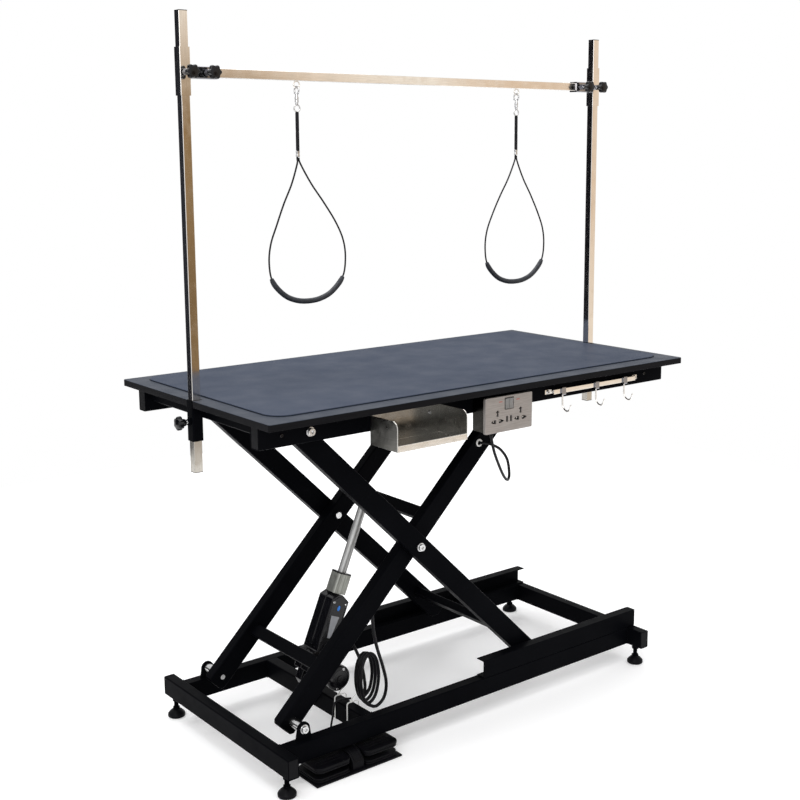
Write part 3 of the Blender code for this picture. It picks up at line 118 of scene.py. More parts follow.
# ---------------------------------------------------------------- camera
def make_camera():
    """Stands at the user's left, a little above the mat, and looks slightly down."""
    yaw, pitch, roll = math.radians(50.91), math.radians(9.93), math.radians(-0.159)
    ahead = Vector((math.cos(pitch) * math.cos(yaw), math.cos(pitch) * math.sin(yaw), -math.sin(pitch)))
    level = Vector((math.sin(yaw), -math.cos(yaw), 0))
    upward = level.cross(ahead)
    across = level * math.cos(roll) + upward * math.sin(roll)
    top = upward * math.cos(roll) - level * math.sin(roll)
    data = bpy.data.cameras.new("camera")
    data.lens = 56.22
    data.sensor_width = 36.0
    data.sensor_fit = "HORIZONTAL"
    data.shift_x = -0.0355
    data.shift_y = -0.0446
    data.clip_start = 0.05
    camera = bpy.data.objects.new("camera", data)
    turn = Matrix((across, top, -ahead)).transposed().to_4x4()
    camera.matrix_world = Matrix.Translation(Vector((-1.8949, -2.3838, 1.3833)) + SHIFT) @ turn
    bpy.context.collection.objects.link(camera)
    bpy.context.scene.camera = camera


# ---------------------------------------------------------------- materials
class Surface:
    """A Principled material whose colour, roughness and bump come from node textures."""

    def __init__(self, name, metallic=0.0, specular=0.5, ior=1.45):
        self.material = bpy.data.materials.new(name)
        self.material.use_nodes = True
        self.tree = self.material.node_tree
        self.shader = self.tree.nodes["Principled BSDF"]
        self.shader.inputs["Metallic"].default_value = metallic
        self.shader.inputs["Specular IOR Level"].default_value = specular
        self.shader.inputs["IOR"].default_value = ior
        self.place = self.tree.nodes.new("ShaderNodeTexCoord").outputs["Object"]

    def node(self, kind, **inputs):
        made = self.tree.nodes.new(kind)
        for key, value in inputs.items():
            self.feed(made.inputs[key.replace("_", " ")], value)
        return made

    def feed(self, socket, value):
        if isinstance(value, bpy.types.NodeSocket):
            self.tree.links.new(value, socket)
        else:
            socket.default_value = value

    def scaled(self, stretch):
        mapping = self.node("ShaderNodeMapping", Vector=self.place, Scale=stretch)
        return mapping.outputs["Vector"]

    def noise(self, scale, detail=4.0, stretch=(1, 1, 1), distortion=0.0):
        made = self.node("ShaderNodeTexNoise", Vector=self.scaled(stretch), Scale=scale, Detail=detail,
                         Distortion=distortion)
        return made.outputs["Fac"]

    def cells(self, scale, stretch=(1, 1, 1)):
        made = self.node("ShaderNodeTexVoronoi", Vector=self.scaled(stretch), Scale=scale)
        return made.outputs["Distance"]

    def ramp(self, source, stops):
        """Colour ramp; stops are (place, colour)."""
        made = self.node("ShaderNodeValToRGB", Fac=source)
        elements = made.color_ramp.elements
        for index, (place, colour) in enumerate(stops):
            item = elements[index] if index < 2 else elements.new(place)
            item.position = place
            item.color = (*colour, 1.0)
        return made.outputs["Color"]

    def span(self, source, low, high, start=0.3, stop=0.7):
        made = self.node("ShaderNodeMapRange", Value=source)
        for key, value in (("From Min", start), ("From Max", stop), ("To Min", low), ("To Max", high)):
            made.inputs[key].default_value = value
        return made.outputs["Result"]

    def blend(self, share, first, second, mode="MIX"):
        made = self.tree.nodes.new("ShaderNodeMix")
        made.data_type = "RGBA"
        made.blend_type = mode
        for index, value in ((0, share), (6, first), (7, second)):
            if isinstance(value, tuple):
                value = (*value, 1.0)
            self.feed(made.inputs[index], value)
        return made.outputs[2]

    def colour(self, source):
        self.feed(self.shader.inputs["Base Color"], source)

    def roughness(self, source):
        self.feed(self.shader.inputs["Roughness"], source)

    def bump(self, *layers):
        """Layers are (height source, strength, distance in metres)."""
        normal = None
        for source, strength, distance in layers:
            made = self.node("ShaderNodeBump", Height=source, Strength=strength, Distance=distance)
            if normal is not None:
                self.tree.links.new(normal, made.inputs["Normal"])
            normal = made.outputs["Normal"]
        self.tree.links.new(normal, self.shader.inputs["Normal"])


def shades(colour, amount):
    dark = tuple(c * (1 - amount) for c in colour)
    light = tuple(min(1.0, c * (1 + amount)) for c in colour)
    return dark, light


def make_black_paint():
    """Satin black powder coat with its orange peel."""
    made = Surface("black_powder_coat", specular=0.30, ior=1.08)
    cloud = made.noise(5.0, 3.0)
    dust = made.noise(420.0, 2.0)
    base = made.ramp(cloud, ((0.30, (0.0012, 0.0014, 0.0021)), (0.70, (0.0026, 0.0028, 0.0037))))
    made.colour(made.blend(made.span(dust, 0.0, 0.22, 0.60, 0.78), base, (0.008, 0.009, 0.012)))
    made.roughness(made.span(made.noise(34.0, 3.0), 0.30, 0.44))
    made.bump((made.noise(230.0, 2.0), 0.10, 0.0004), (made.noise(900.0, 1.0), 0.06, 0.0001))
    return made.material


def make_black_plastic(name="moulded_black", colour=(0.003, 0.003, 0.004), rough=(0.30, 0.46), specular=0.35,
                       ior=1.20):
    made = Surface(name, specular=specular, ior=ior)
    dark, light = shades(colour, 0.25)
    made.colour(made.ramp(made.noise(18.0, 4.0), ((0.3, dark), (0.7, light))))
    made.roughness(made.span(made.noise(60.0, 3.0), *rough))
    made.bump((made.cells(1100.0), 0.12, 0.00015), (made.noise(160.0, 3.0), 0.05, 0.0003))
    return made.material


def make_cord_black():
    made = Surface("black_sheath", specular=0.20)
    made.colour(made.ramp(made.noise(90.0, 4.0),
                          ((0.3, (0.003, 0.003, 0.004)), (0.7, (0.007, 0.007, 0.009)))))
    made.roughness(made.span(made.noise(140.0, 3.0), 0.36, 0.52))
    made.bump((made.noise(600.0, 3.0), 0.12, 0.0002))
    return made.material


def make_foam():
    made = Surface("black_foam_tube", specular=0.40)
    made.colour(made.ramp(made.noise(120.0, 5.0),
                          ((0.3, (0.011, 0.013, 0.017)), (0.7, (0.024, 0.027, 0.034)))))
    made.roughness(made.span(made.noise(70.0, 3.0), 0.40, 0.58))
    made.bump((made.cells(900.0), 0.20, 0.00025), (made.noise(240.0, 3.0), 0.08, 0.0004))
    return made.material


def make_mat():
    """Blue-grey rubber with a fine pebble grain and pale flecks."""
    made = Surface("blue_grey_mat", specular=0.30, ior=1.15)
    cloud = made.noise(3.2, 5.0)
    base = made.ramp(cloud, ((0.25, (0.033, 0.042, 0.064)), (0.75, (0.043, 0.053, 0.078))))
    flecks = made.span(made.noise(620.0, 2.0), 0.0, 0.42, 0.58, 0.74)
    # Dark specks in the pits of the grain: painted shade.
    pit_shade = made.span(made.cells(480.0), 0.45, 0.0, 0.02, 0.24)
    speckled = made.blend(flecks, base, (0.082, 0.096, 0.128))
    made.colour(made.blend(pit_shade, speckled, (0.026, 0.033, 0.050)))
    made.roughness(made.span(made.noise(14.0, 4.0), 0.46, 0.60))
    made.bump((made.cells(520.0), 0.28, 0.0004), (made.noise(8.0, 3.0), 0.04, 0.002))
    return made.material


def make_laminate():
    """Blue-grey laminate of the board's upper face."""
    made = Surface("blue_grey_laminate", specular=0.30, ior=1.15)
    base = made.ramp(made.noise(4.0, 5.0), ((0.25, (0.032, 0.038, 0.051)), (0.75, (0.042, 0.049, 0.064))))
    made.colour(made.blend(made.span(made.noise(700.0, 2.0), 0.0, 0.35, 0.6, 0.76), base,
                           (0.085, 0.095, 0.115)))
    made.roughness(made.span(made.noise(20.0, 3.0), 0.36, 0.50))
    made.bump((made.noise(520.0, 3.0), 0.12, 0.0002))
    return made.material


def make_edge_trim():
    """Black board edge with faint lengthwise lines."""
    made = Surface("black_edge_trim", specular=0.35, ior=1.18)
    lines = made.noise(260.0, 3.0, stretch=(0.05, 0.05, 6.0))
    made.colour(made.ramp(lines, ((0.3, (0.002, 0.002, 0.003)), (0.7, (0.006, 0.006, 0.007)))))
    made.roughness(made.span(made.noise(30.0, 3.0), 0.40, 0.56))
    made.bump((lines, 0.12, 0.0003))
    return made.material


def make_steel(name, colour, rough, along, smudge=0.18, brushed=0.03):
    """Steel with fine lines along one axis, finger smudges and a slight waviness."""
    made = Surface(name, metallic=1.0)
    stretch = tuple(0.03 if axis == along else 1.0 for axis in "xyz")
    lines = made.noise(900.0, 3.0, stretch=stretch)
    stains = made.noise(26.0, 5.0, distortion=0.6)
    dark, light = shades(colour, 0.10)
    clean = made.ramp(lines, ((0.3, dark), (0.7, light)))
    dirt = tuple(c * k for c, k in zip(colour, (0.62, 0.55, 0.46)))
    made.colour(made.blend(made.span(stains, 0.0, smudge, 0.56, 0.74), clean, dirt))
    made.roughness(made.span(made.noise(48.0, 4.0), *rough))
    made.bump((lines, brushed, 0.0002), (made.noise(14.0, 2.0), 0.012, 0.002))
    return made.material


def make_zinc():
    made = Surface("zinc_plate", metallic=1.0)
    made.colour(made.ramp(made.noise(240.0, 4.0), ((0.3, (0.46, 0.46, 0.47)), (0.7, (0.68, 0.68, 0.67)))))
    made.roughness(made.span(made.noise(160.0, 3.0), 0.14, 0.28))
    made.bump((made.noise(500.0, 3.0), 0.08, 0.0002))
    return made.material


def make_satin_plate():
    made = Surface("satin_warm_grey", metallic=0.55, specular=0.4)
    lines = made.noise(700.0, 3.0, stretch=(0.04, 1.0, 1.0))
    made.colour(made.ramp(lines, ((0.3, (0.245, 0.225, 0.212)), (0.7, (0.320, 0.298, 0.282)))))
    made.roughness(made.span(made.noise(60.0, 3.0), 0.34, 0.46))
    made.bump((lines, 0.10, 0.0002))
    return made.material


def make_grey_tube():
    """Anodised outer tube of the actuator: olive grey with drawn lines."""
    made = Surface("drawn_grey_tube", metallic=0.75, specular=0.4)
    lines = made.noise(500.0, 3.0, stretch=(0.03, 1.0, 1.0))
    made.colour(made.ramp(lines, ((0.3, (0.20, 0.205, 0.185)), (0.7, (0.34, 0.345, 0.315)))))
    made.roughness(made.span(made.noise(70.0, 3.0), 0.28, 0.42))
    made.bump((lines, 0.12, 0.0002))
    return made.material


def make_grey_plastic(name, colour):
    made = Surface(name, specular=0.4)
    dark, light = shades(colour, 0.08)
    made.colour(made.ramp(made.noise(70.0, 4.0), ((0.3, dark), (0.7, light))))
    made.roughness(made.span(made.noise(90.0, 3.0), 0.34, 0.50))
    made.bump((made.noise(800.0, 2.0), 0.08, 0.0001))
    return made.material


def make_materials():
    made = {
        "paint": make_black_paint(), "plastic": make_black_plastic(), "cord": make_cord_black(),
        "glossy": make_black_plastic("glossy_black", (0.003, 0.003, 0.004), (0.10, 0.20), 0.45, 1.40),
        "foam": make_foam(), "mat": make_mat(), "laminate": make_laminate(), "trim": make_edge_trim(),
        "steel_z": make_steel("polished_upright", (0.86, 0.83, 0.79), (0.05, 0.14), "z"),
        "steel_x": make_steel("polished_bar", (0.86, 0.83, 0.79), (0.07, 0.16), "x"),
        "sheet": make_steel("bright_sheet", (0.70, 0.68, 0.64), (0.14, 0.26), "x", 0.35, 0.10),
        "box": make_steel("dark_sheet", (0.040, 0.038, 0.034), (0.14, 0.28), "y", 0.35, 0.06),
        # Darker copy of the tray's steel for its inner faces: painted shade and reflection.
        "shaded_inside": make_steel("shaded_mirror_inside", (0.27, 0.265, 0.25), (0.16, 0.28), "x", 0.30, 0.06),
        # Darker, warmer, more smudged copy of the upright's steel for the stub under the top: the darker
        # colour is painted shade and reflection, besides the smudges.
        "worn": make_steel("worn_and_shaded_upright", (0.50, 0.475, 0.43), (0.10, 0.20), "z", 0.30),
        "rod": make_steel("ground_rod", (0.36, 0.36, 0.355), (0.34, 0.44), "x", 0.2, 0.05),
        # Chrome given a darker colour that paints the dark reflections seen on the bar sockets.
        "chrome": make_steel("reflection_darkened_chrome", (0.30, 0.30, 0.32), (0.04, 0.10), "x"),
        # Darker, rougher copy of the tray's steel for its end faces; the darker colour is painted shade.
        "satin": make_steel("satin_shaded_sheet", (0.22, 0.215, 0.20), (0.26, 0.40), "y", 0.25, 0.12),
        "zinc": make_zinc(), "plate": make_satin_plate(), "tube": make_grey_tube(),
        "nylon": make_grey_plastic("grey_nylon", (0.30, 0.31, 0.32)),
        "key": make_grey_plastic("pale_key", (0.17, 0.165, 0.16)),
        "tie": make_grey_plastic("white_tie", (0.72, 0.72, 0.70)),
        "blue": make_grey_plastic("blue_mark", (0.020, 0.200, 0.70)),
        "silver": make_grey_plastic("label_silver", (0.26, 0.27, 0.29)),
        "red": make_grey_plastic("red_mark", (0.34, 0.035, 0.025)),
    }
    return made


LOOK = make_materials()


# ---------------------------------------------------------------- building blocks
def along_x(a, b, t):
    return (t, a, b)


def along_y(a, b, t):
    return (a, t, b)


def along_z(a, b, t):
    return (a, b, t)


def to_axis(axis):
    return Vector((0, 0, 1)).rotation_difference(Vector(axis)).to_matrix().to_4x4()


def arc(centre, radius, start, stop, steps):
    points = []
    for i in range(steps + 1):
        angle = math.radians(start + (stop - start) * i / steps)
        points.append((centre[0] + radius * math.cos(angle), centre[1] + radius * math.sin(angle)))
    return points


def circle(centre, radius, steps):
    return arc(centre, radius, 0, 360 - 360 / steps, steps - 1)


def round_rectangle(a_range, b_range, radius, steps=5):
    points = []
    for index, (sa, sb) in enumerate(((1, 1), (0, 1), (0, 0), (1, 0))):
        middle = (a_range[sa] + radius * (1 - 2 * sa), b_range[sb] + radius * (1 - 2 * sb))
        points += arc(middle, radius, 90 * index, 90 * index + 90, steps)
    return points


def merge(target, part):
    """Put a finished part into the piece's mesh."""
    mesh = bpy.data.meshes.new("part")
    part.to_mesh(mesh)
    part.free()
    target.from_mesh(mesh)
    bpy.data.meshes.remove(mesh)


def round_edges(part, width, segments=3, sharper_than=28):
    bmesh.ops.recalc_face_normals(part, faces=part.faces)
    limit = math.radians(sharper_than)
    edges = [e for e in part.edges if len(e.link_faces) == 2 and e.calc_face_angle(0.0) > limit]
    if width > 0 and edges:
        bmesh.ops.bevel(part, geom=edges, offset=width, offset_type="OFFSET", segments=segments,
                        profile=0.5, affect="EDGES", clamp_overlap=True)


def prism(target, outline, low, high, place, soft=0.0, segments=3):
    """Extruded outline with its edges rounded by soft."""
    part = bmesh.new()
    bottom = [part.verts.new(place(a, b, low)) for a, b in outline]
    top = [part.verts.new(place(a, b, high)) for a, b in outline]
    part.faces.new(bottom)
    part.faces.new(top)
    for i, start in enumerate(bottom):
        j = (i + 1) % len(bottom)
        part.faces.new((start, bottom[j], top[j], top[i]))
    round_edges(part, soft, segments)
    merge(target, part)


def block(target, low, high, soft=0.001, segments=3):
    outline = [(low[0], low[1]), (high[0], low[1]), (high[0], high[1]), (low[0], high[1])]
    prism(target, outline, low[2], high[2], along_z, soft, segments)


def band(target, outer, inner, low, high, place):
    """Extrude the band between two outlines with the same number of points."""
    levels = [[[target.verts.new(place(a, b, t)) for a, b in line] for line in (outer, inner)]
              for t in (low, high)]
    (out0, in0), (out1, in1) = levels
    for i in range(len(outer)):
        j = (i + 1) % len(outer)
        target.faces.new((out0[i], out0[j], out1[j], out1[i]))
        target.faces.new((in0[i], in0[j], in1[j], in1[i]))
        target.faces.new((out0[i], out0[j], in0[j], in0[i]))
        target.faces.new((out1[i], out1[j], in1[j], in1[i]))


def tube(target, a_range, b_range, t_range, place, wall=WALL, corner=TUBE_CORNER):
    """Rectangular tube with rolled corners, open at both ends."""
    a_range, b_range = sorted(a_range), sorted(b_range)
    outer = round_rectangle(a_range, b_range, corner)
    inner = round_rectangle((a_range[0] + wall, a_range[1] - wall), (b_range[0] + wall, b_range[1] - wall),
                            max(corner - wall, 0.0006))
    band(target, outer, inner, *t_range, place)


def loft(target, rings, capped=True, closed=False):
    built = [[target.verts.new(point) for point in ring] for ring in rings]
    count = len(built[0])
    pairs = list(zip(built, built[1:]))
    if closed:
        pairs.append((built[-1], built[0]))
    for lower, upper in pairs:
        for i in range(count):
            j = (i + 1) % count
            target.faces.new((lower[i], lower[j], upper[j], upper[i]))
    if capped:
        target.faces.new(built[0])
        target.faces.new(built[-1])


def turned(target, profile, start, axis, sides=40):
    """Solid of revolution; profile holds (radius, height) pairs."""
    matrix = Matrix.Translation(start) @ to_axis(axis)
    rings = []
    for radius, height in profile:
        rings.append([matrix @ Vector((a, b, height)) for a, b in circle((0, 0), max(radius, 1e-5), sides)])
    loft(target, rings)


def ring(target, centre, radius, wire, axis, sides=40, section=12):
    matrix = Matrix.Translation(centre) @ to_axis(axis)
    rings = []
    for a, b in circle((0, 0), 1.0, sides):
        rings.append([matrix @ Vector((a * (radius + c), b * (radius + c), d))
                      for c, d in circle((0, 0), wire, section)])
    loft(target, rings, capped=False, closed=True)


def smooth_points(points, spacing):
    """Evenly spaced points on the smooth curve through the route's points, as in the CAD."""
    route = [Vector(p) for p in points]
    route = [2 * route[0] - route[1]] + route + [2 * route[-1] - route[-2]]
    steps = 24
    fine = []
    for p0, p1, p2, p3 in zip(route, route[1:], route[2:], route[3:]):
        for k in range(steps):
            t = k / steps
            fine.append(0.5 * (2 * p1 + (p2 - p0) * t + (2 * p0 - 5 * p1 + 4 * p2 - p3) * t ** 2
                               + (3 * p1 - p0 - 3 * p2 + p3) * t ** 3))
    fine.append(route[-2].copy())
    lengths = [0.0]
    for a, b in zip(fine, fine[1:]):
        lengths.append(lengths[-1] + (b - a).length)
    count = max(3, round(lengths[-1] / spacing))
    chosen = []
    k = 0
    for i in range(count + 1):
        wanted = lengths[-1] * i / count
        while k < len(fine) - 2 and lengths[k + 1] < wanted:
            k += 1
        step = max(lengths[k + 1] - lengths[k], 1e-9)
        chosen.append(fine[k].lerp(fine[k + 1], min(1.0, (wanted - lengths[k]) / step)))
    return chosen


def wire(target, points, radius, sides=12, ends=True):
    """Round wire swept through points; radius may be one number or one for each point."""
    places = [Vector(p) for p in points]
    side = None
    rings = []
    for i, place in enumerate(places):
        heading = (places[min(i + 1, len(places) - 1)] - places[max(i - 1, 0)]).normalized()
        side = heading.orthogonal() if side is None else side
        side = (side - heading * side.dot(heading)).normalized()
        up = heading.cross(side)
        size = radius if isinstance(radius, float) else radius[i]
        rings.append([place + a * side + b * up for a, b in circle((0, 0), size, sides)])
    loft(target, rings, capped=ends)


def add_piece(name, shape, look, body, nodes=(), origin=(0, 0, 0), turn=None, sharp=32, even=True):
    """Make an object of the mesh, ride it on its body and hide the CAD nodes it stands in for."""
    bmesh.ops.recalc_face_normals(shape, faces=shape.faces)
    mesh = bpy.data.meshes.new(name)
    shape.to_mesh(mesh)
    shape.free()
    for key in ([look] if isinstance(look, str) else look):
        mesh.materials.append(LOOK[key])
    mesh.shade_smooth()
    mesh.set_sharp_from_angle(angle=math.radians(sharp))
    item = bpy.data.objects.new(name, mesh)
    item.matrix_world = Matrix.Translation(SHIFT + Vector(origin)) @ (turn or Matrix())
    bpy.context.collection.objects.link(item)
    if even:
        item.modifiers.new("even_shading", "WEIGHTED_NORMAL").keep_sharp = True
    if body:
        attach(item, body)
    if nodes:
        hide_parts(*nodes)
    return item


def carve(item, cutter):
    """Cut real holes into a piece of our own."""
    bmesh.ops.recalc_face_normals(cutter, faces=cutter.faces)
    mesh = bpy.data.meshes.new("cutter")
    cutter.to_mesh(mesh)
    cutter.free()
    tool = bpy.data.objects.new("cutter", mesh)
    tool.matrix_world = item.matrix_world
    bpy.context.collection.objects.link(tool)
    modifier = item.modifiers.new("holes", "BOOLEAN")
    modifier.object = tool
    modifier.solver = "EXACT"
    for other in item.modifiers:
        other.show_viewport = other == modifier
    bpy.context.view_layer.update()
    cut_mesh = bpy.data.meshes.new_from_object(item.evaluated_get(bpy.context.evaluated_depsgraph_get()))
    item.modifiers.remove(modifier)
    for other in item.modifiers:
        other.show_viewport = True
    item.data = cut_mesh
    cut_mesh.set_sharp_from_angle(angle=math.radians(32))
    bpy.data.objects.remove(tool)


def from_node(target, node, soft, segments=2, keep=None):
    """The CAD node's own shape with its edges rounded."""
    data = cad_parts[node].data
    part = bmesh.new()
    verts = [part.verts.new(v.co - SHIFT) for v in data.vertices]
    for face in data.polygons:
        try:
            part.faces.new([verts[i] for i in face.vertices])
        except ValueError:
            continue
    bmesh.ops.remove_doubles(part, verts=part.verts, dist=2e-5)
    bmesh.ops.dissolve_limit(part, angle_limit=math.radians(1), verts=part.verts, edges=part.edges)
    round_edges(part, soft, segments)
    merge(target, part)


def hexagon_ring(radius, count):
    """Points on a hexagon, one for each of count directions."""
    points = []
    for i in range(count):
        angle = 2 * math.pi * i / count
        reach = radius * math.cos(math.pi / 6) / math.cos(angle % (math.pi / 3) - math.pi / 6)
        points.append((reach * math.cos(angle), reach * math.sin(angle)))
    return points


def nut(target, point, axis, radius, height, bore=0.0):
    """Hexagon nut with chamfered corners."""
    matrix = Matrix.Translation(point) @ to_axis(axis)
    inner = circle((0, 0), bore or radius * 0.45, 36)
    outer = hexagon_ring(radius, 36)
    flat = radius * math.cos(math.pi / 6)
    cut = [(a * min(1, (flat + 0.0002) / math.hypot(a, b)), b * min(1, (flat + 0.0002) / math.hypot(a, b)))
           for a, b in outer]
    levels = [(inner, 0.0), (cut, 0.0), (outer, 0.0006), (outer, height - 0.0006), (cut, height),
              (inner, height)]
    loft(target, [[matrix @ Vector((a, b, h)) for a, b in line] for line, h in levels], capped=True)


def socket_screw(target, point, axis, radius, height, key=0.004, washer=None, dome=False):
    """Cap screw with a hexagon socket, on its washer."""
    matrix = Matrix.Translation(point) @ to_axis(axis)
    count = 36
    base = 0.0
    if washer:
        edge = washer[1] * 0.25
        profile = [(radius * 0.6, 0), (washer[0] - edge, 0), (washer[0], edge),
                   (washer[0], washer[1] - edge),
                   (washer[0] - edge, washer[1]), (radius * 0.6, washer[1])]
        turned(target, profile, point, axis, count)
        base = washer[1]
    levels = [(circle((0, 0), radius, count), base)]
    if dome:
        for angle in (0, 20, 40, 58):
            reach = key * 1.25 + (radius - key * 1.25) * math.cos(math.radians(angle))
            levels.append((circle((0, 0), reach, count),
                           base + height * (0.35 + 0.65 * math.sin(math.radians(angle)) / 0.85)))
    else:
        levels += [(circle((0, 0), radius, count), base + height - 0.0009),
                   (circle((0, 0), radius - 0.0009, count), base + height)]
    top = levels[-1][1]
    levels += [(hexagon_ring(key, count), top), (hexagon_ring(key, count), top - 0.0032),
               (circle((0, 0), 0.0002, count), top - 0.0040)]
    loft(target, [[matrix @ Vector((a, b, h)) for a, b in line] for line, h in levels])


# ---------------------------------------------------------------- base
def plate(target, outline, y_range, soft=0.0006):
    low, high = sorted(y_range)
    prism(target, outline, low, high, along_y, soft, 2)


def weld_bead(target, start, end, radius=0.0016):
    """Rippled bead along a welded corner."""
    a, b = Vector(start), Vector(end)
    count = max(4, round((b - a).length / 0.0012))
    points = [a.lerp(b, i / count) for i in range(count + 1)]
    sizes = [radius * (0.85 + 0.22 * math.cos(i * math.pi)) for i in range(count + 1)]
    sizes[0] = sizes[-1] = radius * 0.4
    wire(target, points, sizes, 8)


def make_base():
    shape = bmesh.new()
    beam = (BEAM_LOW, BEAM_TOP)
    for side in SIDES:
        tube(shape, (side * 0.202, side * 0.232), beam, (-0.5462, 0.5462), along_x)
        tube(shape, (side * 0.545, side * 0.573), beam, (-0.280, 0.280), along_y)
        for end in SIDES:
            x, y = end * 0.5446, side * 0.2015
            weld_bead(shape, (x, y, BEAM_LOW), (x, y, BEAM_TOP))
            weld_bead(shape, (x, side * 0.2325, BEAM_LOW), (x, side * 0.2325, BEAM_TOP))
        for x in (-0.3256, -0.2944):
            weld_bead(shape, (x, side * 0.2015, BEAM_LOW), (x, side * 0.2015, BEAM_TOP))
    tube(shape, (-0.325, -0.295), beam, (-0.2030, 0.2030), along_y)
    for side in SIDES:
        lug = [(PIVOT_X + 0.020, 0.0955)] + arc((PIVOT_X, LOW_Z), 0.016, 0, 180,
                                                20) + [(PIVOT_X - 0.020, 0.0955)]
        plate(shape, lug, (side * 0.2100, side * 0.2160))
        weld_bead(shape, (PIVOT_X - 0.019, side * 0.2165, BEAM_TOP),
                  (PIVOT_X + 0.019, side * 0.2165, BEAM_TOP))
        fork = [(-0.324, 0.060), (-0.324, 0.0955), (-0.311, 0.0955)]
        fork += arc((ACTUATOR_LOW.x, ACTUATOR_LOW.z), 0.015, 20, 200, 18) + [(-0.3490, 0.080)]
        plate(shape, fork, (side * 0.0128, side * 0.0170))
    turned(shape, [(0.006, -0.0200), (0.006, 0.0200)], (ACTUATOR_LOW.x, 0, ACTUATOR_LOW.z), (0, 1, 0), 24)
    add_piece("base_frame_tubes", shape, "paint", "base", ["base_frame"])

    plugs = bmesh.new()
    for side in SIDES:
        for end in SIDES:
            low, high = sorted((side * 0.5472, side * 0.5708)), sorted((end * 0.2770, end * 0.2797))
            block(plugs, (low[0], high[0], BEAM_LOW + 0.0022), (low[1], high[1], BEAM_TOP - 0.0022), 0.0008,
                  2)
    add_piece("base_end_plugs", plugs, "plastic", "base")

    pin = bmesh.new()
    for side in SIDES:
        socket_screw(pin, (ACTUATOR_LOW.x, side * 0.0173, ACTUATOR_LOW.z), (0, side, 0), 0.0062, 0.0022,
                     0.003)
    add_piece("fork_pin_ends", pin, "zinc", "base")

    for side in SIDES:
        word = WORDS[side]
        channel = bmesh.new()
        from_node(channel, f"floor_channel_{word}", 0.0011, 3)
        add_piece(f"floor_channel_{word}_rolled", channel, "paint", "base",
                  [f"floor_channel_{word}"])
        bolt = bmesh.new()
        profile = [(0.006, 0.1375), (0.006, 0.1685), (0.0106, 0.1685), (0.0115, 0.1694), (0.0115, 0.2088),
                   (0.0106, 0.2097), (0.006, 0.2097), (0.006, 0.2163)]
        place = (PIVOT_X, 0, LOW_Z)
        turned(bolt, profile, place, (0, side, 0))
        socket_screw(bolt, (PIVOT_X, side * 0.2163, LOW_Z), (0, side, 0), 0.0085, 0.006, 0.0042,
                     (0.0105, 0.0015))
        add_piece(f"low_pivot_{word}_screw", bolt, "zinc", "base", [f"low_pivot_bolt_{word}"])


FOOT_PROFILE = ((0.0, 0.0), (0.0180, 0.0), (0.0196, 0.0006), (0.0208, 0.0018), (0.0210, 0.0030),
                (0.0210, 0.0070), (0.0204, 0.0088), (0.0186, 0.0110), (0.0158, 0.0140), (0.0135, 0.0162),
                (0.0108, 0.0181), (0.0090, 0.0190), (0.0082, 0.0194), (0.0052, 0.0196))


def make_feet():
    for x, x_word in HANDS:
        for y in SIDES:
            name = f"foot_{WORDS[y]}_{x_word}"
            place = (x * 0.558, y * 0.250, 0)
            foot = bmesh.new()
            turned(foot, FOOT_PROFILE, place, (0, 0, 1), 56)
            add_piece(f"{name}_pad", foot, "plastic", name, [name])
            metal = bmesh.new()
            thread = [(0.0048, 0.0192)]
            for i in range(16):
                height = 0.0200 + 0.00125 * i
                thread += [(0.0047, height), (0.0055, height + 0.0006)]
            thread.append((0.0048, 0.0410))
            turned(metal, thread, place, (0, 0, 1), 32)
            nut(metal, (place[0], place[1], 0.0195), (0, 0, 1), 0.0092, 0.0050, 0.0050)
            nut(metal, (place[0], place[1], 0.0402), (0, 0, 1), 0.0094, 0.0092, 0.0050)
            add_piece(f"{name}_stud", metal, "paint", name)


PEDALS = (("pedal_left", -0.4870, -0.3930), ("pedal_right", -0.3550, -0.2610))


def make_foot_switch():
    base = bmesh.new()
    block(base, (-0.4920, -0.2680, 0.0006), (-0.2560, -0.1700, 0.0050), 0.0016, 3)
    for _, x0, x1 in PEDALS:
        for low, high, inset in ((0.0046, 0.0098, 0.0), (0.0102, 0.0150, 0.0012)):
            pad = round_rectangle((x0 + inset, x1 - inset), (-0.2630 + inset, -0.1750), 0.0160, 8)
            prism(base, pad, low, high, along_z, 0.0014, 3)
    arch = [(-0.2600, 0.0040), (-0.1720, 0.0040), (-0.1720, 0.0300), (-0.1765, 0.0360), (-0.1830, 0.0405),
            (-0.1950, 0.0440), (-0.2080, 0.0454), (-0.2200, 0.0453), (-0.2350, 0.0430), (-0.2430, 0.0395),
            (-0.2500, 0.0340), (-0.2570, 0.0265), (-0.2600, 0.0200)]
    prism(base, arch, -0.3895, -0.3585, along_x, 0.0022, 3)
    for x in (-0.3835, -0.3645):
        points = [(x, a, b + 0.0002) for a, b in arch[2:12]]
        wire(base, points, 0.0011, 8)
    add_piece("foot_switch_housing", base, "plastic", "base", ["foot_switch_base"])
    gland = bmesh.new()
    turned(gland, [(0.0046, 0), (0.0062, 0.0008), (0.0062, 0.0060), (0.0050, 0.0075), (0.0036, 0.0140),
                   (0.0030, 0.0150), (0.0026, 0.0150)], (-0.3740, -0.1722, 0.0150), (0, 1, 0), 28)
    add_piece("foot_switch_gland", gland, "plastic", "base")
    for name, x0, x1 in PEDALS:
        pedal = bmesh.new()
        for low, high, inset in ((0.0268, 0.0322, 0.0008), (0.0326, 0.0398, 0.0)):
            pad = round_rectangle((x0 + inset, x1 - inset), (-0.2640 + inset, -0.1745), 0.0160, 10)
            prism(pedal, pad, low, high, along_z, 0.0019, 3)
        for i in range(6):
            y = -0.2460 + 0.0100 * i
            wire(pedal, [(x0 + 0.013, y, 0.0396), (x0 + 0.014, y, 0.0399), (x1 - 0.014, y, 0.0399),
                         (x1 - 0.013, y, 0.0396)], 0.0008, 8)
        add_piece(f"{name}_cover", pedal, "plastic", name, [name])


